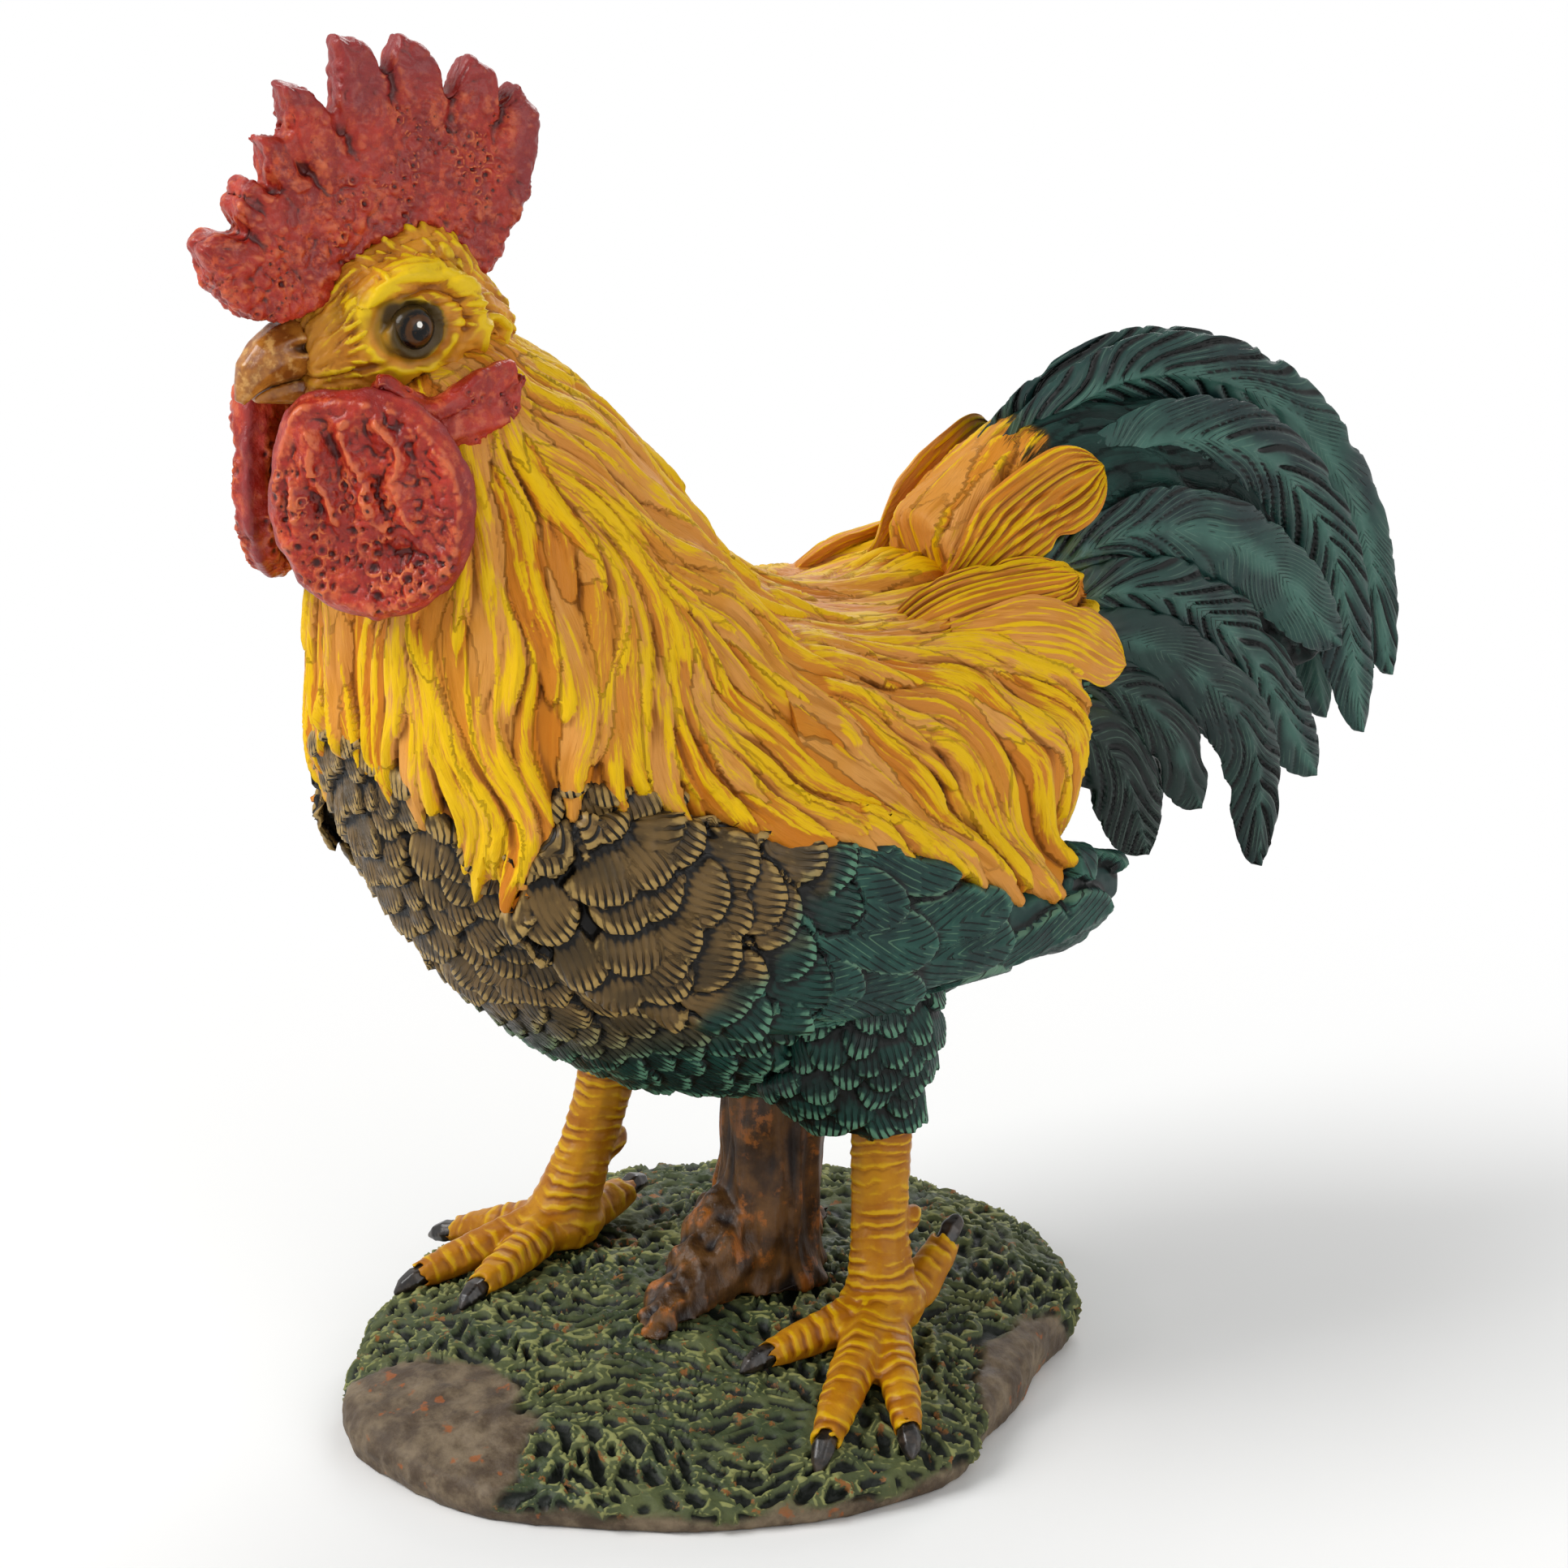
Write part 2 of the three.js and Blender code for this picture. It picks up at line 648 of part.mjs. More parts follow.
add('left_eye', seat(leftEye, outer), paints.eye);
add('right_eye', seat(rightEye, outer), paints.eye);
const head = makeHead();
add('head', seat(head, outer, leftEye, rightEye), paints.face);

// Beak: the upper half hooks over the lower one
const beakRoot = onHead(0, -headLength / 2 + 8, -3);
const upperBeak = sweep({
  path: [
    beakRoot.clone().add(new THREE.Vector3(0, 4, 0)),
    beakRoot.clone().add(new THREE.Vector3(0, -beakLength * 0.35, 1)),
    beakRoot.clone().add(new THREE.Vector3(0, -beakLength * 0.75, -3)),
    beakRoot.clone().add(new THREE.Vector3(0, -beakLength + 1.5, -10)),
  ],
  wide: [10, 8.5, 5.5, 1.2],
  tall: [9, 8, 5.5, 1.2],
  side: sideways,
  steps: 7,
  sides: 10,
});
const lowerBeak = sweep({
  path: [
    beakRoot.clone().add(new THREE.Vector3(0, 4, -8)),
    beakRoot.clone().add(new THREE.Vector3(0, -beakLength * 0.4, -8)),
    beakRoot.clone().add(new THREE.Vector3(0, -beakLength * 0.8, -9)),
  ],
  wide: [8.5, 6.5, 1.5],
  tall: [5, 4, 1.5],
  side: sideways,
  steps: 5,
  sides: 10,
});
add('upper_beak', seat(upperBeak, head), paints.beak);
add('lower_beak', seat(lowerBeak, head, upperBeak), paints.beak);

// Comb: an upright plate with spikes, thick at the crown of the head and thin at the spikes.
// The outline is in the side view, from the front lobe over the spikes to the rear lobe.
const combFoot = 12;
const combTop = 70;
const combOutline = [
  [-24, 8], [-33, 6], [-41, 7], [-48, 13], [-50.5, 21], [-49.5, 26], [-44, 28], [-43.5, 36],
  [-39, 39], [-35.5, 36.5], [-35.5, 46.5], [-30, 47], [-27.5, 41], [-30, 58], [-23.5, 58], [-17, 49],
  [-15.5, 66], [-10, 67.5], [-4, 62], [1, 66.5], [6.5, 64], [12.5, 55], [17.5, 59], [23.5, 57.5],
  [27, 51.5], [31, 52.5], [35, 46], [36, 36], [31, 25], [24, 15], [18, 8], [8, 12], [-10, 14],
];
function makeComb() {
  const grow = combHeight / (combTop - combFoot);
  const shape = new THREE.Shape(combOutline.map(([y, z]) => {
    return new THREE.Vector2(y, combFoot + (z - combFoot) * (z > combFoot ? grow : 1));
  }));
  const bevel = 2.4;
  const depth = combThickness - bevel * 2;
  const plate = new THREE.ExtrudeGeometry(shape, {
    depth,
    bevelSize: bevel * 0.6,
    bevelThickness: bevel,
    bevelOffset: -bevel * 0.6,
    bevelSegments: 2,
  });
  plate.translate(0, 0, -depth / 2);
  const place = plate.attributes.position;
  for (let i = 0; i < place.count; i += 1) {
    const height = (place.getY(i) - combFoot) / combHeight;
    place.setZ(i, place.getZ(i) * THREE.MathUtils.clamp(1.3 - height * 0.7, 0.6, 1.4));
  }
  plate.rotateX(Math.PI / 2);
  plate.rotateZ(Math.PI / 2);
  plate.translate(headAt.x, headAt.y, headAt.z);
  return toSolid(plate);
}
add('comb', seat(makeComb(), head, upperBeak), paints.flesh);

// Wattles hang from the jaw and spread round the throat; ear lobes lie behind them
function makeWattle(hand) {
  const disc = new THREE.SphereGeometry(1, 14, 8);
  disc.scale(wattleThickness / 2, wattleLength / 2, wattleHeight / 2);
  disc.rotateZ(THREE.MathUtils.degToRad(-45));
  disc.translate(22.6, headAt.y - 21.4, headAt.z - 35);
  const solid = toSolid(disc);
  return hand > 0 ? solid : solid.mirror([1, 0, 0]);
}
function makeLobe(hand) {
  const points = [
    onHead(22, -20, -8),
    onHead(26.5, -8, -15),
    onHead(29, 3, -15),
    onHead(28, 15, -9),
  ];
  return sweep({
    path: hand > 0 ? points : mirror(points),
    wide: [3, lobeThickness / 2, lobeThickness / 2, 2.5],
    tall: [4, 8, 9.5, 5],
    side: sideways,
    steps: 7,
    sides: 10,
  });
}
for (const [sideName, hand] of [['left', 1], ['right', -1]]) {
  const wattle = makeWattle(hand);
  add(`${sideName}_wattle`, seat(wattle, head, outer, upperBeak, lowerBeak), paints.flesh);
  add(`${sideName}_earlobe`, seat(makeLobe(hand), head, outer, wattle), paints.flesh);
}

// A feather: a flat blade along a curve, widest past its middle, with a blunt end
function makeFeather(points, width, thickness, side, steps) {
  return sweep({
    path: points,
    wide: [0.6, 0.9, 1, 1, 0.85, 0.3].map((share) => (share * thickness) / 2),
    tall: [0.6, 0.85, 1, 1, 0.85, 0.28].map((share) => (share * width) / 2),
    side,
    steps,
    sides: 6,
  });
}

// Tail feathers of one side, from the top sickle down, as steps from the tail root.
// The first one lies against its twin at the middle of the tail.
const nearMiddle = featherThickness / 2 + seam;
const tailFeathers = [
  {
    name: 'sickle_1',
    width: 23,
    path: [[0, -6, 17], [0, 18, 35], [0, 48, 40], [0, 85, 27], [0, 114, -5], [0, 131, -55]],
  },
  {
    name: 'sickle_2',
    width: 23,
    path: [[10, -4, 6], [10, 20, 20], [9, 46, 25], [8, 76, 15], [6, 102, -14], [4, 118, -68]],
  },
  {
    name: 'sickle_3',
    width: 23,
    path: [[18, -2, -2], [18, 22, 5], [17, 46, 2], [15, 72, -11], [12, 102, -39]],
  },
  {
    name: 'sickle_4',
    width: 22,
    path: [[18, -2, -12], [20, 20, -9], [19, 44, -17], [16, 68, -37], [12, 95, -74]],
  },
  {
    name: 'sickle_5',
    width: 21,
    path: [[18, -4, -22], [22, 18, -21], [22, 42, -33], [21, 64, -57], [19, 71, -93]],
  },
  { name: 'covert_1', width: 19, path: [[18, -6, -31], [23, 14, -32], [25, 32, -46], [24, 46, -71]] },
  { name: 'covert_2', width: 22, path: [[18, -8, -38], [24, 4, -41], [26, 17, -55], [25, 28, -80]] },
];

// Saddle plumes of one side, in front of the tail, each with the way its flat side faces.
// The first stands against the tail, and the others lie on the rump, where the body is half grown.
// They are carried by the crests of the locks.
const besideTail = tailRootWidth / 2;
const rump = (neckWidth + bodyWidth) / 4;
const plumes = [
  {
    name: 'plume_1',
    width: 20,
    lean: [1, 0, 0.35],
    path: [[besideTail - 8, -26, -4], [besideTail - 6, -8, 12], [besideTail - 4, 14, 24]],
  },
  {
    name: 'plume_2',
    width: 16,
    lean: [0.8, 0, 0.8],
    path: [[rump - 18.5, -56, -12], [rump - 16.5, -32, -6], [rump - 15.5, 2, -4]],
  },
  {
    name: 'plume_3',
    width: 18,
    lean: [1, 0, 0.4],
    path: [[rump - 7.5, -34, -8], [rump - 4.5, -12, -12], [rump - 7.5, 12, -25]],
  },
];
for (const [sideName, hand] of [['left', 1], ['right', -1]]) {
  const carriers = [tailBlock, outer];
  for (const feather of tailFeathers) {
    const points = feather.path.map(([x, y, z]) => fromTail(hand * (x + nearMiddle), y, z));
    const blade = makeFeather(points, feather.width, featherThickness, sideways, 8);
    add(`${sideName}_${feather.name}`, seat(blade, ...carriers), paints.green);
    carriers.push(blade);
  }
  for (const plume of plumes) {
    const facing = new THREE.Vector3(hand * plume.lean[0], plume.lean[1], plume.lean[2]).normalize();
    const points = plume.path.map(([x, y, z]) => {
      return fromTail(hand * x, y, z).addScaledVector(facing, lockRise / 2);
    });
    const blade = makeFeather(points, plume.width, plumeThickness, facing, 5);
    add(`${sideName}_${plume.name}`, seat(blade, ...carriers), paints.hackle);
    carriers.push(blade);
  }
}

const group = new THREE.Group();
for (const [name, { solid, finish }] of pieces) {
  const mesh = new THREE.Mesh(toGeometry(solid), new THREE.MeshStandardMaterial(finish));
  mesh.name = name;
  group.add(mesh);
}

// The origin is under the middle of the whole figure, on the ground
const extent = new THREE.Box3().setFromObject(group);
const middle = extent.getCenter(new THREE.Vector3());
group.position.set(-middle.x, -middle.y, 0);

export default group;
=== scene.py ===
import math
import bmesh
import bpy
import numpy as np
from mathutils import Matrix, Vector, noise
from mathutils.bvhtree import BVHTree
from mathutils.kdtree import KDTree


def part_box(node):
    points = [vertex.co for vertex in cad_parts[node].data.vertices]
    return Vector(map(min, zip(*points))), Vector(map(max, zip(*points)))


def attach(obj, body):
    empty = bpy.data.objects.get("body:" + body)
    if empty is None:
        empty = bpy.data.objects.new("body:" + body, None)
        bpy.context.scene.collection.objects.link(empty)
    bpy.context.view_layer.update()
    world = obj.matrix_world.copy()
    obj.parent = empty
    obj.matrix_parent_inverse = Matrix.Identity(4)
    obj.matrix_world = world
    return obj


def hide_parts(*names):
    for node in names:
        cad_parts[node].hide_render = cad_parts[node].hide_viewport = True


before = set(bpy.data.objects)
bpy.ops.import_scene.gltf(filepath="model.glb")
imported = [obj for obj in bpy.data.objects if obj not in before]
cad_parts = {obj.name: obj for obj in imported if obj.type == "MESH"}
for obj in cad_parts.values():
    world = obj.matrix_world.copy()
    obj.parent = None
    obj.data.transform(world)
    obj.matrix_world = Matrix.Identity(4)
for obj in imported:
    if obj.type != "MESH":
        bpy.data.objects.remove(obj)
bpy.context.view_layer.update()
mm = 0.001


def boxMiddle(name):
    low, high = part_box(name)
    return (low + high) / 2


# The bird's own middle: the comb gives the plane of symmetry, the left eye gives front and back.
# All places below are in millimetres from there: -Y to the beak, +X to the bird's left, Z up.
eyeFromMiddle = -101
birdMiddle = Vector((boxMiddle("comb").x, boxMiddle("left_eye").y - eyeFromMiddle * mm, 0))
birdShift = np.array(birdMiddle) / mm
hands = {"left": 1, "right": -1}


# Camera and studio

cameraSetup = {
    "azimuth": 56, "elevation": 18, "distance": 1200,
    "aim": (6.83, 10.13, 154.55), "lens": 110.4,
}
studio = {
    "floor": 0xF6F6F5, "world": 0.38, "fade": (0.14, 0.42),
    "lamps": {                    # place and size in metres, power in watts
        "key": ((-0.35, -1.3, 1.25), 0.9, 23),
        "fill": ((1.5, 0.2, 0.7), 1.2, 8),
        "rim": ((-0.9, 1.2, 1.2), 0.9, 13),
    },
}


def makeCamera():
    azimuth = math.radians(cameraSetup["azimuth"])
    elevation = math.radians(cameraSetup["elevation"])
    flat = math.cos(elevation)
    back = Vector((math.sin(azimuth) * flat, -math.cos(azimuth) * flat, math.sin(elevation)))
    aim = Vector(cameraSetup["aim"]) * mm + birdMiddle
    camera = newObject("photoCamera", bpy.data.cameras.new("photoCamera"))
    camera.data.lens = cameraSetup["lens"]
    camera.data.sensor_width = 36
    camera.location = aim + back * cameraSetup["distance"] * mm
    camera.rotation_mode = "QUATERNION"
    camera.rotation_quaternion = (-back).to_track_quat("-Z", "Y")
    camera.data.clip_end = 20
    bpy.context.scene.camera = camera


# Small builders for paint

def linear(code):
    parts = [((code >> shift) & 255) / 255 for shift in (16, 8, 0)]
    return tuple(p / 12.92 if p <= 0.04045 else ((p + 0.055) / 1.055) ** 2.4 for p in parts) + (1.0,)


def node(tree, kind, inputs=None, **settings):
    made = tree.nodes.new("ShaderNode" + kind)
    for key, setting in settings.items():
        setattr(made, key, setting)
    for key, entry in (inputs or {}).items():
        if isinstance(entry, bpy.types.NodeSocket):
            tree.links.new(entry, made.inputs[key])
        else:
            made.inputs[key].default_value = entry
    return made


def calc(tree, operation, first, second=0.0):
    return node(tree, "Math", {0: first, 1: second}, operation=operation).outputs[0]


class Paint:          # a paint while it is mixed: each coat goes over the colour so far
    def __init__(self, name, roughness, specular=0.5, coat=0.0):
        self.material = bpy.data.materials.new(name)
        self.material.use_nodes = True
        self.tree = self.material.node_tree
        self.tree.nodes.clear()
        numbers = {"Roughness": roughness, "Specular IOR Level": specular,
                   "Coat Weight": coat, "Coat Roughness": 0.25}
        self.shader = node(self.tree, "BsdfPrincipled", numbers)
        self.output = node(self.tree, "OutputMaterial", {0: self.shader.outputs[0]})

    def layer(self, name):
        return node(self.tree, "Attribute", attribute_name=name).outputs["Fac"]

    def plus(self, first, second):
        return calc(self.tree, "ADD", first, second)

    def times(self, first, second):
        return calc(self.tree, "MULTIPLY", first, second)

    def sine(self, entry, waves=1):
        return calc(self.tree, "SINE", self.times(entry, math.tau * waves))

    def fit(self, entry, low, high, start=0.0, end=1.0):
        inputs = {0: entry, 1: low, 2: high, 3: start, 4: end}
        return node(self.tree, "MapRange", inputs, interpolation_type="SMOOTHSTEP").outputs[0]

    def both(self, first, second):            # shows where both entries do
        return self.times(self.fit(*first), self.fit(*second))

    def mix(self, share, first, second):
        first, second = (linear(entry) if isinstance(entry, int) else entry for entry in (first, second))
        return node(self.tree, "Mix", {0: share, 6: first, 7: second}, data_type="RGBA").outputs[2]

    def start(self, entry, low, high, first, second):
        self.colour = self.mix(self.fit(entry, low, high), first, second)

    def over(self, share, colour):
        self.colour = self.mix(share, self.colour, colour)

    def coat(self, entry, low, high, amount, colour):        # begins at low, the full amount at high
        self.over(self.fit(entry, low, high, 0, amount), colour)

    def clouds(self, coords, scale, detail, roughness):
        entries = {"Vector": coords, "Scale": scale, "Detail": detail, "Roughness": roughness}
        return node(self.tree, "TexNoise", entries).outputs["Fac"]

    def speckle(self, size, detail=3.0, roughness=0.55, stretch=None):        # spots of a size in mm
        coords = node(self.tree, "TexCoord").outputs["Object"]
        if stretch:
            coords = node(self.tree, "Mapping", {"Vector": coords, "Scale": stretch}).outputs[0]
        return self.clouds(coords, 1 / (size * mm), detail, roughness)

    def streaks(self, width, stretch, detail=2.0, roughness=0.5):     # brush strokes along a feather
        side = calc(self.tree, "DIVIDE", self.layer("across"), width)
        down = calc(self.tree, "DIVIDE", self.layer("along"), width * stretch)
        feather = self.times(self.layer("shade"), 91.0)
        place = node(self.tree, "CombineXYZ", {0: side, 1: down, 2: feather}).outputs[0]
        return self.clouds(place, 1.0, detail, roughness)

    def finish(self, height=None, depth=0.0, rough=None):
        self.tree.links.new(self.colour, self.shader.inputs["Base Color"])
        if height is not None:
            inputs = {"Height": height, "Strength": 1.0, "Distance": depth * mm}
            self.tree.links.new(node(self.tree, "Bump", inputs).outputs[0], self.shader.inputs["Normal"])
        if rough is not None:
            entry, low, high = rough
            self.tree.links.new(self.fit(entry, 0.3, 0.7, low, high), self.shader.inputs["Roughness"])
        return self.material


# Small builders for meshes

def clearSelection():
    if bpy.context.object and bpy.context.object.mode != "OBJECT":
        bpy.ops.object.mode_set(mode="OBJECT")
    bpy.ops.object.select_all(action="DESELECT")


def pick(obj):
    clearSelection()
    obj.select_set(True)
    bpy.context.view_layer.objects.active = obj


def applyModifier(obj, kind, **settings):
    pick(obj)
    modifier = obj.modifiers.new("step", kind)
    for key, setting in settings.items():
        setattr(modifier, key, setting)
    bpy.ops.object.modifier_apply(modifier=modifier.name)


def subdivide(obj):
    applyModifier(obj, "SUBSURF", levels=1, render_levels=1)


def newObject(name, mesh):
    obj = bpy.data.objects.new(name, mesh)
    bpy.context.scene.collection.objects.link(obj)
    return obj


def drop(obj):
    mesh = obj.data
    bpy.data.objects.remove(obj)
    bpy.data.meshes.remove(mesh)


def nodeCopy(name, nodes):        # loose triangles of CAD nodes, merged into closed shells
    shell = bmesh.new()
    for entry in nodes:
        shell.from_mesh(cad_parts[entry].data)
    bmesh.ops.remove_doubles(shell, verts=shell.verts, dist=0.001 * mm)
    mesh = bpy.data.meshes.new(name)
    shell.to_mesh(mesh)
    shell.free()
    return newObject(name, mesh)


def numbersOf(block, field, width=1, kind=float):
    flat = np.empty(len(block) * width, kind)
    block.foreach_get(field, flat)
    return flat if width == 1 else flat.reshape(-1, width)


def pointsOf(obj):
    return numbersOf(obj.data.vertices, "co", 3) / mm - birdShift


def normalsOf(obj):
    return numbersOf(obj.data.vertex_normals, "vector", 3)


def edgesOf(obj):
    return numbersOf(obj.data.edges, "vertices", 2, np.int32)


def movePoints(obj, points):
    obj.data.vertices.foreach_set("co", ((points + birdShift) * mm).ravel())
    obj.data.update()


def pushOut(obj, points, normals, push):
    movePoints(obj, points + normals * push[:, None])


def setLayers(obj, **layers):
    count = len(obj.data.vertices)
    for name, numbers in layers.items():
        entry = obj.data.attributes.get(name) or obj.data.attributes.new(name, "FLOAT", "POINT")
        entry.data.foreach_set("value", np.full(count, numbers, np.float32))


def averaged(edges, numbers, rounds):   # each round takes the mean of a point and its neighbours
    count = len(numbers)
    first, second = edges.T
    share = np.bincount(first, minlength=count) + np.bincount(second, minlength=count) + 1.0
    result = np.array(numbers, float)
    for _ in range(rounds):
        sums = np.bincount(first, result[second], count) + np.bincount(second, result[first], count)
        result = (result + sums) / share
    return result


def relax(obj, rounds):           # evens the facets out and keeps the volume
    points, edges = pointsOf(obj), edgesOf(obj)
    for step in range(rounds * 2):
        target = np.column_stack([averaged(edges, points[:, k], 1) for k in range(3)])
        points = points + (target - points) * (0.62 if step % 2 == 0 else -0.64)
    movePoints(obj, points)


def keepLargest(obj):             # drops the crumbs that a remesh leaves inside
    edges = edgesOf(obj)
    labels = np.arange(len(obj.data.vertices))
    while True:
        first, second = labels[edges[:, 0]], labels[edges[:, 1]]
        apart = first != second
        if not apart.any():
            break
        np.minimum.at(labels, np.maximum(first, second)[apart], np.minimum(first, second)[apart])
        while (labels[labels] != labels).any():
            labels = labels[labels]
    main = np.bincount(labels).argmax()
    if (labels == main).all():
        return
    shell = bmesh.new()
    shell.from_mesh(obj.data)
    shell.verts.ensure_lookup_table()
    stray = [shell.verts[int(i)] for i in np.nonzero(labels != main)[0]]
    bmesh.ops.delete(shell, geom=stray, context="VERTS")
    shell.to_mesh(obj.data)
    shell.free()


castings = {                      # voxel size in mm, and rounds of smoothing
    "trunk": (3.3, 8), "coat": (3.15, 8), "wing": (1.6, 5), "thigh": (1.7, 5), "tailCore": (2.3, 5),
    "head": (1.0, 5), "beak": (0.6, 5), "comb": (1.05, 3), "wattle": (1.0, 6), "earlobe": (0.8, 5),
    "leg": (1.12, 4), "claw": (0.5, 9), "ground": (1.9, 3), "stump": (1.2, 4),
}


def remeshed(name, nodes, kind):
    voxel, rounds = castings[kind]
    obj = nodeCopy(name, nodes)
    applyModifier(obj, "REMESH", mode="VOXEL", voxel_size=voxel * mm)
    keepLargest(obj)
    relax(obj, rounds)
    return obj


def cast(name, nodes, kind):      # remeshed, with each face divided once
    obj = remeshed(name, nodes, kind)
    subdivide(obj)
    return obj, pointsOf(obj), normalsOf(obj)


def trimmed(name, source, planes):        # a copy that is cut by planes, with closed cuts
    obj = newObject(name, source.data.copy())
    pick(obj)
    bpy.ops.object.mode_set(mode="EDIT")
    for place, away in planes:
        bpy.ops.mesh.select_all(action="SELECT")
        spot = Vector(place) * mm + birdMiddle
        bpy.ops.mesh.bisect(plane_co=spot, plane_no=away, use_fill=True, clear_outer=True)
    bpy.ops.mesh.select_all(action="DESELECT")
    bpy.ops.mesh.select_face_by_sides(number=4, type="GREATER")
    bpy.ops.mesh.quads_convert_to_tris(quad_method="BEAUTY", ngon_method="BEAUTY")
    bpy.ops.object.mode_set(mode="OBJECT")
    subdivide(obj)
    return obj


def densify(obj, shown):          # divides the faces that show once more
    pick(obj)
    mesh = obj.data
    corners = numbersOf(mesh.loops, "vertex_index", kind=np.int32)
    starts = numbersOf(mesh.polygons, "loop_start", kind=np.int32)
    chosen = np.logical_or.reduceat(shown[corners], starts)
    bpy.ops.object.mode_set(mode="EDIT")
    bpy.ops.mesh.select_all(action="DESELECT")
    bpy.ops.object.mode_set(mode="OBJECT")
    mesh.polygons.foreach_set("select", chosen)
    bpy.ops.object.mode_set(mode="EDIT")
    bpy.ops.mesh.select_mode(type="FACE")
    bpy.ops.mesh.subdivide(number_cuts=1)
    bpy.ops.object.mode_set(mode="OBJECT")


def noiseAt(points, size, shift=0.0):
    step = Vector((shift, shift * 0.7, shift * 1.3))
    return np.array([noise.noise(Vector(p) / size + step) for p in points])


def smooth(entry, low, high):
    t = np.clip((entry - low) / (high - low), 0, 1)
    return t * t * (3 - 2 * t)


def bump(entry, width):           # 1 at zero, next to nothing beyond two widths
    return np.exp(-(entry / width) ** 2)


def dome(first, second):
    return np.exp(-(first ** 2 + second ** 2))


def treeOf(places):
    tree = KDTree(len(places))
    for index, place in enumerate(places):
        tree.insert(Vector(place), index)
    tree.balance()
    return tree


def finishPiece(obj, paint, nodes):
    obj.data.materials.clear()
    obj.data.materials.append(paint)
    obj.data.polygons.foreach_set("use_smooth", np.ones(len(obj.data.polygons), bool))
    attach(obj, "root")
    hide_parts(*nodes)
    print(obj.name, len(obj.data.polygons), "faces")


# Feathers laid on a surface

laying = {"sway": 24, "above": 7, "facing": 0.1, "ribFade": 1.2, "shaftWidth": 0.8, "bow": 0.04}


class Surface:
    def __init__(self, obj):
        self.points, self.normals = pointsOf(obj), normalsOf(obj)
        self.faces = [tuple(face.vertices) for face in obj.data.polygons]
        self.tree = BVHTree.FromPolygons([Vector(point) for point in self.points], self.faces)

    def nearest(self, point):
        place, _, index, _ = self.tree.find_nearest(Vector(point))
        corners = list(self.faces[index])
        weight = 1 / (((self.points[corners] - np.array(place)) ** 2).sum(1) + 0.05)
        facing = (self.normals[corners] * weight[:, None]).sum(0)
        return np.array(place), facing / np.linalg.norm(facing)


def scatter(points, gap, seed, squeeze=1.0):        # places that keep a gap to each other
    order = np.random.default_rng(seed).permutation(len(points))
    points = points * squeeze
    kept = np.empty((0, 3))
    for index in order:
        point = points[index]
        if len(kept) == 0 or ((kept - point) ** 2).sum(1).min() > gap * gap:
            kept = np.vstack([kept, point])
    return kept / squeeze


def flowAt(guides, point):        # direction of the feathers, blended from the guides near a point
    weight = 1 / (((guides[:, :2] - point[1:]) ** 2).sum(1) + 30) ** 2
    return np.array([0.0, *(guides[:, 2:] * weight[:, None]).sum(0)])


def layFeathers(surface, tips, guides, length, seed, stride=3.0, wander=0.3, curl=0.25, outside=None):
    dice = np.random.default_rng(seed)
    guides = np.asarray(guides, float)
    laid = []
    for tip in tips:
        reach = dice.uniform(*length)
        bend = dice.normal(0, curl)
        steps = max(2, int(round(reach / stride)))
        point, facing = surface.nearest(tip)
        line, facings = [point], [facing]
        for step in range(steps):
            along = flowAt(guides, point)
            along -= facing * along.dot(facing)
            along /= max(np.linalg.norm(along), 1e-6)
            sway = wander * noise.noise(Vector(point) / laying["sway"])
            turn = sway * 2 + bend * (0.5 - step / steps)
            ahead = along * math.cos(turn) + np.cross(facing, along) * math.sin(turn)
            point, facing = surface.nearest(point - ahead * stride)
            if outside is not None and outside(point):
                break
            line.append(point)
            facings.append(facing)
        if len(line) > 2:
            laid.append((np.array(line[::-1]), np.array(facings[::-1])))
    return laid


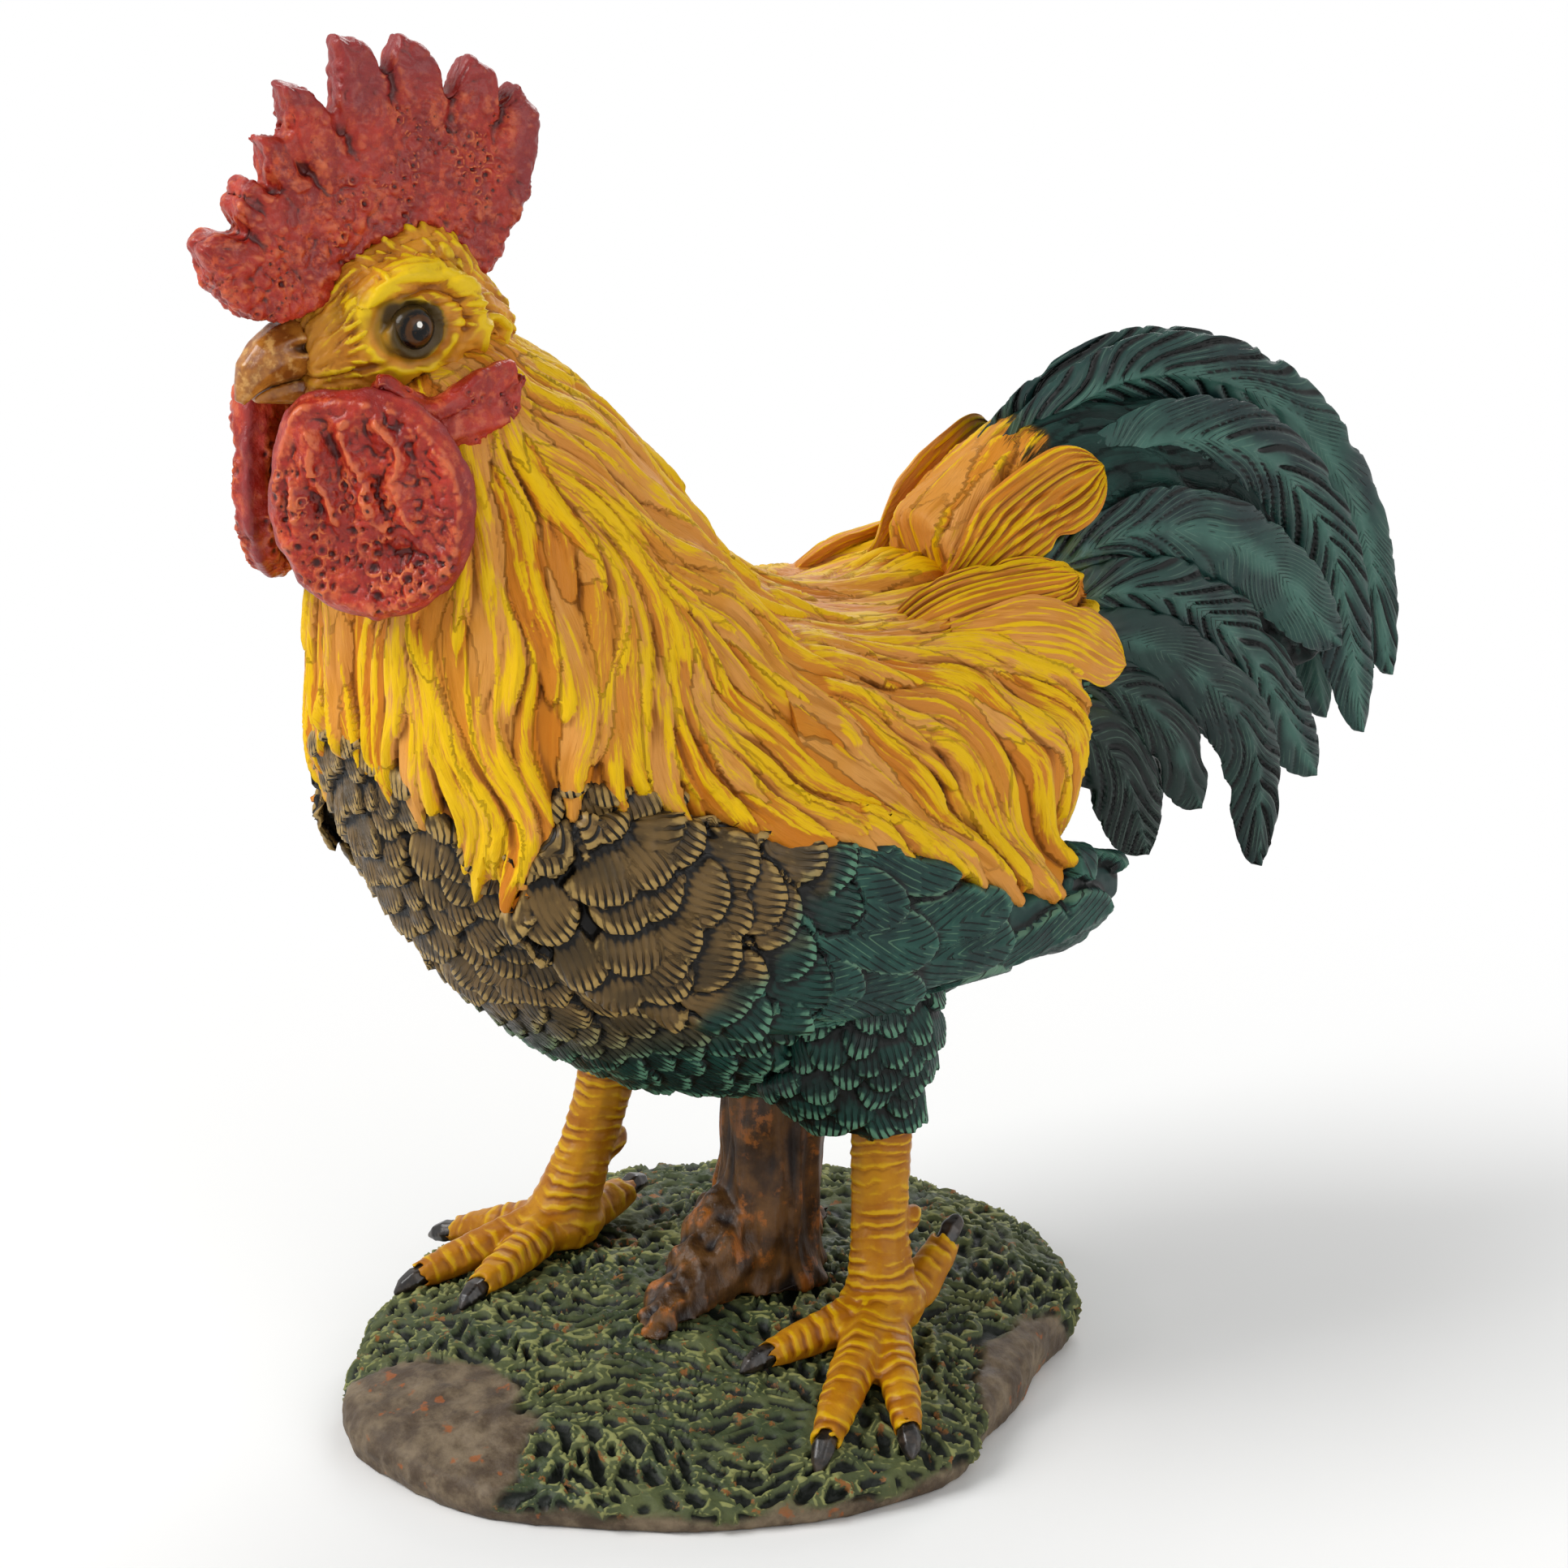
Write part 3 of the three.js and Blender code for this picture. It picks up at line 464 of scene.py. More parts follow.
def heightsOver(points, normals, feathers, look, bare, seed, lift=None):
    dice = np.random.default_rng(seed)
    count = len(points)
    height = np.array(bare, float) if np.ndim(bare) else np.full(count, float(bare))
    fields = {name: np.zeros(count) for name in ("along", "across", "phase", "shade", "tip")}
    fields["edge"] = np.full(count, 9.0)
    for line, facings in feathers:
        width = dice.uniform(*look["width"]) / 2
        shade, jitter = dice.random(), dice.normal(0, look["jitter"])
        skew = dice.uniform(-0.35, 0.35)
        reach = width + look["slopeReach"]
        near = ((points > line.min(0) - reach) & (points < line.max(0) + reach)).all(1)
        near = np.nonzero(near)[0]
        if len(near) == 0:
            continue
        place = points[near]
        start, step = line[:-1], np.diff(line, axis=0)
        size = np.linalg.norm(step, axis=1)
        rel = place[:, None] - start
        share = np.clip((rel * step).sum(2) / size ** 2, 0, 1)
        gap = rel - share[:, :, None] * step
        far = (gap ** 2).sum(2)
        pickOne = far.argmin(1)
        rows = np.arange(len(near))
        share, gap, far = share[rows, pickOne], gap[rows, pickOne], far[rows, pickOne]
        facing = facings[pickOne] * (1 - share)[:, None] + facings[pickOne + 1] * share[:, None]
        up = (gap * facing).sum(1)
        side = np.sqrt(np.maximum(far - up ** 2, 0))
        along = np.concatenate([[0], np.cumsum(size)])[pickOne] + share * size[pickOne]
        whole = size.sum()
        t = along / whole
        sideways = np.cross(facing, step[pickOne] / size[pickOne][:, None])
        across = np.where((gap * sideways).sum(1) < 0, -side, side)
        body = look["root"] + (1 - look["root"]) * smooth(t, 0, look["belly"])
        tip = np.clip((1 - t) / look["tip"], 0, 1)
        half = width * body * (1 - (1 - tip) ** look["tipPower"][0]) ** look["tipPower"][1]
        edge = half - side
        ratio = np.clip(across / np.maximum(half, 0.3), -1, 1)
        rounding = np.sqrt(1 - (1 - np.clip(edge / look["round"], 0, 1)) ** 2)
        crest = 1 - look["crown"] * (ratio - skew) ** 2 + look.get("tilt", 0) * ratio
        level = look["low"] + (look["high"] - look["low"]) * t ** look["climb"] + jitter
        slant = look.get("slant", 0)
        phase = along - slant * side - laying["bow"] * side ** 2 if slant else across
        phase = phase / look["pitch"] + shade
        ribs = look["ribs"] * np.sin(phase * math.tau)
        ribs += look.get("shaft", 0) * bump(side, laying["shaftWidth"])
        top = level + rounding * (look["rise"] * crest + ribs * np.clip(edge / laying["ribFade"], 0, 1))
        top = top - np.maximum(-edge, 0) * look["slope"]
        if lift is not None:
            top = top + lift[near]
        win = (np.abs(up) < laying["above"]) & ((normals[near] * facing).sum(1) > laying["facing"])
        win &= (edge > -look["slopeReach"]) & (top > height[near])
        target = near[win]
        height[target] = top[win]
        for name, entry in (("along", along), ("across", across), ("phase", phase),
                            ("shade", np.full(len(near), shade)), ("tip", whole - along), ("edge", edge)):
            fields[name][target] = entry[win]
    return height, fields


def stamp(obj, feathers, look, bare, seed, lift=None, lines=(), fade=1.0, facing=None):
    points = pointsOf(obj)
    normals = normalsOf(obj) if facing is None else facing
    height, fields = heightsOver(points, normals, feathers, look, bare, seed, lift)
    crest = np.zeros(len(points))
    for strands, shape in lines:              # raised strands on top of the broad locks
        rise = heightsOver(points, normals, strands, shape, 0.0, seed + 5)[0] * fade
        height = height + rise
        crest = np.maximum(crest, smooth(rise, 0.15, shape["rise"]))
    relief = (height - averaged(edgesOf(obj), height, look["soft"])) * fade
    pushOut(obj, points, normals, height)
    setLayers(obj, crest=crest, relief=relief, **fields)


def layersWhere(obj, win, upper, lower):      # the layers of two coats of feathers
    setLayers(obj, **{name: np.where(win, upper[name], lower[name]) for name in lower})


def wholeNormals(obj, surface, seam=4.8):     # at a cut the points keep the facing of the uncut surface
    points, normals = pointsOf(obj), normalsOf(obj)
    for row, point in enumerate(points):
        _, _, index, away = surface.tree.find_nearest(Vector(point))
        normals[row] = surface.normals[surface.faces[index][0]] if away < seam else 0.0
    return normals


def hemAt(hem, points):           # height of a cape's lower edge
    return np.interp(points[:, 1], *zip(*hem))


# Paint of the feathers

def strandPaint(name, colours, mixed=False):       # a warm ground, brushed crests, brown grooves
    p = Paint(name, 0.5, 0.14)
    relief, cloud = p.layer("relief"), p.speckle(24, 3)
    stroke, broad = p.streaks(0.7, 12, 3, 0.65), p.streaks(3.0, 8, 2)
    p.start(p.layer("shade"), 0.15, 0.85, colours["ground"], colours["pale"])
    p.coat(cloud, 0.42, 0.64, 0.7, colours["warm"])
    p.coat(broad, 0.52, 0.7, 0.5, colours["line"])
    strokes = p.plus(p.times(stroke, 0.8), p.times(broad, 0.45))
    raised = p.plus(p.times(p.layer("crest"), 0.25), p.fit(relief, -0.2, 0.8, 0, 0.16))
    brushed = p.plus(p.plus(strokes, raised), p.fit(p.speckle(18, 2), 0.35, 0.65, -0.08, 0.1))
    p.coat(brushed, 0.8, 1.0, 0.92, colours["bright"])
    p.coat(p.streaks(0.42, 16, 1), 0.58, 0.74, 0.35, colours["line"])
    p.coat(relief, -0.3, -0.8, 0.75, colours["groove"])
    p.coat(relief, -0.8, -1.5, 0.85, colours["deep"])
    if mixed:                     # the block under the tail: orange in front, dark green behind
        dark = p.mix(p.fit(cloud, 0.4, 0.64), 0x0D221F, 0x1C3A34)
        dark = p.mix(p.fit(relief, 0.1, -0.4), dark, 0x050B0A)
        green = p.layer("green")
        p.coat(p.plus(green, p.fit(stroke, 0.3, 0.7, -0.3, 0.3)), 0.2, 0.6, 1, 0x3A2E12)
        p.coat(green, 0.5, 0.9, 1, dark)
    return p.finish(p.streaks(0.5, 14, 2), 0.25, (stroke, 0.38, 0.55))


def barbColour(p, colours, gap):     # short feathers: barbs that fan to the rim, dark lines between
    relief = p.layer("relief")
    p.start(p.speckle(14, 3), 0.35, 0.65, colours["low"], colours["mid"])
    brushed = p.plus(p.fit(relief, -0.1, 0.7, 0, 0.55), p.times(p.speckle(2.2, 3), 0.6))
    p.coat(brushed, 0.42, 0.85, 0.9, colours["light"])
    p.over(gap, colours["dark"])
    p.coat(relief, -0.05, -0.4, 1, colours["dark"])
    return p.colour


# The short feathers' colours
brownFeather = {"low": 0x47381F, "mid": 0x6E5631, "light": 0xA5884F, "dark": 0x0D0905}
greenFeather = {"low": 0x0C2420, "mid": 0x163C34, "light": 0x5C8A70, "dark": 0x040A08}


def barbPaint(name):
    p = Paint(name, 0.45, 0.22)
    relief, long, dark = p.layer("relief"), p.layer("long"), greenFeather["dark"]
    wave = p.times(p.times(p.streaks(3.0, 1.5, 2), 0.8), calc(p.tree, "SUBTRACT", 1.0, long))
    barb = p.sine(p.plus(p.layer("phase"), wave))
    short = p.both((barb, 0.3, 0.85), (p.layer("tip"), 7.5, 1.8, 0.1, 1.0))
    thin = p.both((barb, 0.7, 0.97, 0, 0.85), (p.speckle(7, 2), 0.4, 0.55))
    gap = node(p.tree, "Mix", {"Factor": long, 2: short, 3: thin}, data_type="FLOAT").outputs[0]
    brown, green = barbColour(p, brownFeather, gap), barbColour(p, greenFeather, gap)
    p.start(p.speckle(16, 3), 0.35, 0.65, 0x0E2C29, 0x1D463D)         # the long feathers of the wing
    p.coat(relief, 0.1, 0.9, 0.7, 0x3C6A5A)
    p.over(p.both((barb, -0.8, -1.0, 0, 0.6), (p.speckle(7, 2), 0.52, 0.4)), 0x5E8468)
    p.over(p.both((p.layer("edge"), 1.1, 0.3, 0, 0.6), (p.speckle(9, 2), 0.38, 0.5)), 0x6E9478)
    p.over(gap, dark)
    p.coat(relief, -0.1, -0.5, 1, dark)
    p.colour = p.mix(p.layer("green"), brown, p.mix(long, green, p.colour))
    return p.finish(p.times(gap, -1.0), 0.5, (p.speckle(3, 2), 0.34, 0.52))


# Trunk: breast and belly, hackle over the neck, saddle over the back

hackleHem = [(-140, 190), (-112, 184), (-104, 170), (-99, 162), (-93, 151), (-89, 166),
             (-79, 176), (-62, 175), (-44, 170), (-24, 164), (-6, 158), (10, 158), (40, 200)]
saddleHem = [(-20, 158), (-4, 158), (8, 152), (17, 149), (28, 140), (37, 140), (45, 132), (52, 134),
             (60, 125), (67, 140), (72, 158), (78, 178), (84, 192), (140, 208)]
hackleFlow = [(-70, 280, 0.7, -0.7), (-90, 255, 0.25, -0.97), (-108, 220, 0.0, -1), (-95, 180, 0.0, -1),
              (-50, 190, 0.15, -1), (-45, 172, 0.5, -0.85), (-20, 180, 0.55, -0.83), (5, 200, 0.75, -0.6),
              (-60, 250, 0.5, -0.85), (-30, 215, 0.6, -0.8), (-75, 215, 0.1, -1), (-20, 165, 0.6, -0.8)]
saddleFlow = [(30, 205, 1, -0.05), (30, 190, 0.9, -0.45), (40, 170, 0.6, -0.8), (45, 145, 0.25, -0.97),
              (75, 170, 0.55, -0.83), (70, 145, 0.3, -0.95), (5, 170, 0.5, -0.85), (75, 195, 1, 0.1),
              (0, 205, 0.9, -0.3)]
breastFlow = [(-100, 160, 0.3, -0.95), (-60, 110, 0.8, -0.6), (-10, 80, 1, -0.05), (50, 100, 0.9, 0.45),
              (0, 110, 0.8, -0.5), (-80, 130, 0.55, -0.8)]
trunk = {"bodyTop": 192, "greenFrom": (130, 108), "cover": 1.6}
capes = {
    "hackle": {
        "node": "neck_cape", "hem": hackleHem, "flow": hackleFlow, "seed": 21, "rise": 5.6,
        "way": 1, "shown": 12, "spots": 6, "fade": (14, 6),
        "cuts": [((0, 0, 146), (0, 0, -1)), ((0, 18, 0), (0, 1, 0)),
                 ((40, 0, 150), (0.35, 0, -0.94)), ((-40, 0, 150), (-0.35, 0, -0.94))],
    },
    "saddle": {
        "node": "saddle_cape", "hem": saddleHem, "flow": saddleFlow, "seed": 31, "rise": 5.5,
        "way": -1, "shown": 10, "spots": 8, "fade": (10, 2),
        "cuts": [((0, 0, 121), (0, 0, -1)), ((0, -20, 0), (0, -1, 0)), ((0, 73, 150), (0, 0.94, -0.34))],
    },
}
hackleLook = {
    "width": (10, 17), "root": 0.4, "belly": 0.5, "tip": 0.7, "tipPower": (1.3, 0.9),
    "round": 5.0, "crown": 0.3, "rise": 0.5, "tilt": 0.5, "low": -1.1, "high": -0.2, "climb": 0.7,
    "jitter": 0.1, "ribs": 0.0, "pitch": 2.3, "slope": 0.8, "slopeReach": 1.6, "soft": 16,
}
ridgeLook = {
    "width": (3.8, 7.0), "root": 0.12, "belly": 0.8, "tip": 0.2, "tipPower": (1.6, 0.7),
    "round": 2.6, "crown": 0.3, "rise": 1.3, "tilt": 0.45, "low": -0.7, "high": 0.35, "climb": 0.7,
    "jitter": 0.15, "ribs": 0.0, "pitch": 2.0, "slope": 1.0, "slopeReach": 1.2,
}
lineLook = {
    "width": (1.7, 3.2), "root": 0.3, "belly": 0.7, "tip": 0.45, "tipPower": (1.5, 0.8),
    "round": 1.5, "crown": 0.2, "rise": 0.75, "tilt": 0.35, "low": -0.3, "high": 0.1, "climb": 0.5,
    "jitter": 0.1, "ribs": 0.0, "pitch": 2.0, "slope": 1.0, "slopeReach": 1.0,
}
scaleLook = {
    "width": (9.5, 13.5), "root": 0.6, "belly": 0.45, "tip": 0.5, "tipPower": (2.0, 0.5),
    "round": 0.9, "crown": 0.3, "rise": 0.8, "low": -2.2, "high": 1.1, "climb": 1.1, "jitter": 0.18,
    "ribs": 0.14, "pitch": 1.75, "slope": 2.6, "slopeReach": 1.5, "soft": 14,
}


def hemOver(points):              # the lower edge of both capes
    return np.where(points[:, 1] < 2, hemAt(hackleHem, points), hemAt(saddleHem, points))


def makeBody(surface, base):
    obj = trimmed("breastAndBelly", base, [((0, 0, trunk["bodyTop"]), (0, 0, 1))])
    points = pointsOf(obj)
    covers = nodeCopy("covers", [side + part for side in hands for part in ("_wing", "_thigh")])
    cover = Surface(covers)
    drop(covers)
    shown = points[:, 2] < hemOver(points) + 6
    for row in np.nonzero(shown)[0]:
        shown[row] = cover.tree.find_nearest(Vector(points[row]))[3] > trunk["cover"]
    densify(obj, shown)
    points = pointsOf(obj)
    _, y, z = points.T
    covered = smooth(z - hemOver(points), 5, 9)
    seeds = surface.points[surface.points[:, 2] < hemOver(surface.points) + 4]
    feathers = layFeathers(surface, scatter(seeds, 6.8, 11), breastFlow, (11, 15), 12, 2.5, 0.6, 0.35)
    stamp(obj, feathers, scaleLook, -2.5 - covered * 2, 13, lift=-covered * 3)
    green = smooth(z + noiseAt(points, 14) * 6 + y * -0.15, *trunk["greenFrom"])
    green = np.maximum(green, smooth(y + noiseAt(points, 8) * 6, 36, 50))
    setLayers(obj, green=green, long=0)
    finishPiece(obj, barbPaint("breastFeather"), ["body_core"])


def strandsOver(surface, spots, above, flow, seed):      # broad locks, and two sorts of strands on them
    def lay(near, hemGap, gap, size, curl, step):
        tips = [scatter(spots[np.abs(above - near) < 1.6], hemGap, seed + step),
                scatter(spots[above > near + 4], gap, seed + step + 1)]
        return layFeathers(surface, np.vstack(tips), flow, size, seed + step + 2, 3.0, 0.4, curl,
                           outside=lambda p: p[2] > 284)
    locks = lay(0, 8.0, 13, (46, 80), 0.3, 0)
    ridges = lay(1.0, 8.5, 12.5, (42, 90), 0.3, 3)
    lines = lay(0.5, 5.0, 9.0, (30, 85), 0.25, 6)
    return locks, [(ridges, ridgeLook), (lines, lineLook)]


def makeCape(name, surface, base, paint):        # "way" turns the saddle's numbers round
    setup = capes[name]
    hem, way, seed = setup["hem"], setup["way"], setup["seed"]
    obj = trimmed(name + "Cape", base, setup["cuts"])
    points = pointsOf(obj)
    densify(obj, (points[:, 2] > hemAt(hem, points) - 4) & (points[:, 1] * way < setup["shown"]))
    points = pointsOf(obj)
    _, y, z = surface.points.T
    spots = surface.points[(y * way < setup["spots"]) & (y * 2 - z < 10)]
    locks, lines = strandsOver(surface, spots, spots[:, 2] - hemAt(hem, spots), setup["flow"], seed)
    above = points[:, 2] - hemAt(hem, points)
    inside = smooth(above, -2, 5) * smooth(points[:, 1] * way, *setup["fade"])
    stamp(obj, locks, hackleLook, -7.5 + inside * setup["rise"], seed + 3, smooth(above, 22, 0) * 1.1,
          lines, smooth(inside, 0, 0.5), wholeNormals(obj, surface))
    finishPiece(obj, paint, [setup["node"]])


hackleColours = {"ground": 0xC8781C, "pale": 0xDA9A4C, "warm": 0xD08A2A, "bright": 0xE8BC06,
                 "line": 0xA8640C, "groove": 0x7E4408, "deep": 0x3E1E05}


def makeTrunk():
    nodes = ["body_core", "neck_cape", "saddle_cape"]
    base = remeshed("trunkBase", nodes, "trunk")
    makeBody(Surface(base), base)
    cover = remeshed("coatBase", nodes + ["left_wing", "right_wing"], "coat")
    surface = Surface(cover)
    paint = strandPaint("hackleFeather", hackleColours)
    for name in capes:
        makeCape(name, surface, cover, paint)
    drop(base)
    drop(cover)
    return paint


# Wings, thighs and the block under the tail

wingFlow = [(-95, 160, 0.5, -0.85), (-70, 150, 0.75, -0.65), (-40, 145, 0.85, -0.5), (-10, 140, 0.95, -0.3),
            (30, 135, 1, -0.15), (80, 125, 1, -0.1)]
thighFlow = [(0, 100, 0.2, -1), (40, 110, 0.5, -0.8), (-20, 110, 0.4, -0.9)]
shoulderLook = {
    "width": (14, 19), "root": 0.6, "belly": 0.45, "tip": 0.55, "tipPower": (2.0, 0.5),
    "round": 0.9, "crown": 0.35, "rise": 1.0, "low": -2.0, "high": 1.3, "climb": 1.1, "jitter": 0.15,
    "ribs": 0.16, "pitch": 1.9, "slope": 2.8, "slopeReach": 1.5, "soft": 14,
}
longLook = {
    "width": (14, 18), "root": 0.6, "belly": 0.35, "tip": 0.25, "tipPower": (2.0, 0.5),
    "round": 1.1, "crown": 0.4, "rise": 1.0, "low": -1.6, "high": 1.4, "climb": 0.9, "jitter": 0.2,
    "ribs": 0.1, "pitch": 6.6, "slant": 3.3, "slope": 2.6, "slopeReach": 1.6, "soft": 14, "shaft": 0.5,
}
wing = {"top": 158, "long": (0.35, -16), "green": (0.75, -22)}


def pastLine(points, name):       # how far behind a line that leans over the wing
    lean, start = wing[name]
    return points[:, 1] + (wing["top"] - points[:, 2]) * lean - start


def makeWing(side, paint):
    obj = remeshed(side + "Wing", [side + "_wing"], "wing")
    surface = Surface(obj)
    subdivide(obj)
    spots = surface.points
    past = pastLine(spots, "long")
    front = scatter(spots[past < 8], 9.4, 41, (1, 0.75, 1.45))        # rows of wide scallops
    rear = scatter(spots[past > 13], 12.5, 42, (1, 0.5, 1.3))
    rear = np.vstack([rear, scatter(spots[spots[:, 1] > 72], 9, 47)])
    shoulder = layFeathers(surface, front, wingFlow, (12, 15), 43, 2.5, 0.5, 0.3)
    flight = layFeathers(surface, rear, wingFlow, (44, 66), 44, 3.0, 0.2, 0.1)
    points, normals = pointsOf(obj), normalsOf(obj)
    low, lowFields = heightsOver(points, normals, flight, longLook, -1.2, 45)
    high, highFields = heightsOver(points, normals, shoulder, shoulderLook, -3.0, 46)
    win = (high > low - 3) & (pastLine(points, "long") < 18)
    height = np.where(win, high, low) - 3.0 * smooth(points[:, 2] - hemOver(points), -1.5, 3)
    pushOut(obj, points, normals, height)
    layersWhere(obj, win, highFields, lowFields)
    green = smooth(pastLine(points, "green") + noiseAt(points, 9) * 8, -5, 5)
    setLayers(obj, relief=height - averaged(edgesOf(obj), height, 14), long=~win, green=green)
    finishPiece(obj, paint, [side + "_wing"])


def makeThigh(side, paint):
    obj = remeshed(side + "Thigh", [side + "_thigh"], "thigh")
    if side == "left":            # its front foot reaches on to the stump
        points = pointsOf(obj)
        ahead = np.array([-0.56, -0.83, 0])
        reach = (points - (36, 10, 0)) @ ahead
        low = smooth(points[:, 2], 98, 84)
        points += ahead * (smooth(reach, -2, 12) * low * 13)[:, None]
        points[:, 2] += 3.0 * smooth(reach, 4, 14) * smooth(points[:, 2], 84, 76)
        movePoints(obj, points)
    surface = Surface(obj)
    subdivide(obj)
    feathers = layFeathers(surface, scatter(surface.points, 6.2, 51), thighFlow, (11, 15), 52, 2.5, 0.5, 0.3)
    stamp(obj, feathers, scaleLook, -1.5, 53)
    setLayers(obj, green=1, long=0)
    finishPiece(obj, paint, [side + "_thigh"])


def makeTailCore():
    obj = remeshed("tailCore", ["tail_core"], "tailCore")
    surface = Surface(obj)
    subdivide(obj)
    flow = [(60, 205, 0.7, 0.7), (80, 215, 0.8, 0.6), (120, 210, 0.9, -0.2), (160, 180, 0.5, -0.85)]
    feathers = layFeathers(surface, scatter(surface.points, 8, 61), flow, (20, 34), 62)
    strands = layFeathers(surface, scatter(surface.points, 6, 64), flow, (16, 34), 65)
    stamp(obj, feathers, hackleLook, -1.2, 63, lines=[(strands, lineLook)])
    points = pointsOf(obj)
    setLayers(obj, green=smooth(points[:, 1] + noiseAt(points, 7) * 6, 76, 90))
    finishPiece(obj, strandPaint("tailRootFeather", hackleColours, True), ["tail_core"])


# Tail feathers and plumes: flat blades along a curve, with a shaft and slanting barbs

tailRoot = np.array([0, 80, 204])
nearMiddle = 3.85
tailFeathers = {
    "sickle_1": (23, [(0, -6, 17), (0, 18, 35), (0, 48, 40), (0, 85, 27), (0, 114, -5), (0, 131, -55)]),
    "sickle_2": (23, [(10, -4, 6), (10, 20, 20), (9, 46, 25), (8, 76, 15), (6, 102, -14), (4, 118, -68)]),
    "sickle_3": (23, [(18, -2, -2), (18, 22, 5), (17, 46, 2), (15, 72, -11), (12, 102, -39)]),
    "sickle_4": (22, [(18, -2, -12), (20, 20, -9), (19, 44, -17), (16, 68, -37), (12, 95, -74)]),
    "sickle_5": (21, [(18, -4, -22), (22, 18, -21), (22, 42, -33), (21, 64, -57), (19, 71, -93)]),
    "covert_1": (19, [(18, -6, -31), (23, 14, -32), (25, 32, -46), (24, 46, -71)]),
    "covert_2": (22, [(18, -8, -38), (24, 4, -41), (26, 17, -55), (25, 28, -80)]),
}
plumes = {
    "plume_1": (22, (1, 0, 0.35), [(17, -26, -4), (20.5, -8, 12), (24, 15, 24)]),
    "plume_2": (18, (0.8, 0, 0.8), [(24.5, -58, -14), (28.5, -32, -4), (31.5, 2, -1.5)]),
    "plume_3": (19, (1, 0, 0.4), [(33, -38, -9), (40.5, -12, -11.5), (38, 12, -24.5)]),
}
bladeLook = {                     # "fan" counts the strands of a plume, 0 makes slanting locks
    "thick": 6.4, "around": 64, "spacing": 0.95, "slant": 2.9, "bow": -0.04, "pitch": 9.5, "fan": 0,
    "groove": 1.0, "shaft": 0.7, "notch": 1.6, "tipRound": 0.2, "root": 0.6, "narrow": 0.2, "rootThick": 0.7,
}
plumeLook = {
    "thick": 4.8, "around": 60, "spacing": 0.9, "fan": 4.6, "groove": 1.5, "shaft": 0.5, "notch": 1.6,
    "tipRound": 0.24, "root": 0.42, "narrow": 0.0, "rootThick": 0.25,
}


def curveThrough(points, count):        # a smooth curve through the points, in even steps
    points = np.asarray(points, float)
    padded = np.vstack([2 * points[0] - points[1], points, 2 * points[-1] - points[-2]])
    rows = []
    for i in range(len(points) - 1):
        a, b, c, d = padded[i:i + 4]
        for t in np.linspace(0, 1, 40, endpoint=False):
            rows.append(0.5 * (2 * b + (c - a) * t + (2 * a - 5 * b + 4 * c - d) * t ** 2
                               + (3 * b - a - 3 * c + d) * t ** 3))
    rows = np.array(rows + [points[-1]])
    size = np.concatenate([[0], np.cumsum(np.linalg.norm(np.diff(rows, axis=0), axis=1))])
    even = np.linspace(0, size[-1], count)
    return np.column_stack([np.interp(even, size, rows[:, k]) for k in range(3)]), even


def closedTube(name, points, ends):           # rings of points, with a point at each end
    rings, around = points.shape[:2]
    count = rings * around
    pairs = [(j, (j + 1) % around) for j in range(around)]
    faces = [(i + j, i + k, i + around + k, i + around + j)
             for i in range(0, count - around, around) for j, k in pairs]
    for j, k in pairs:
        faces += [(count, k, j), (count + 1, count - around + j, count - around + k)]
    mesh = bpy.data.meshes.new(name)
    mesh.from_pydata((np.vstack([points.reshape(-1, 3), *ends]) + birdShift) * mm, [], faces)
    shell = bmesh.new()
    shell.from_mesh(mesh)
    bmesh.ops.recalc_face_normals(shell, faces=shell.faces)
    shell.to_mesh(mesh)
    shell.free()
    return newObject(name, mesh)


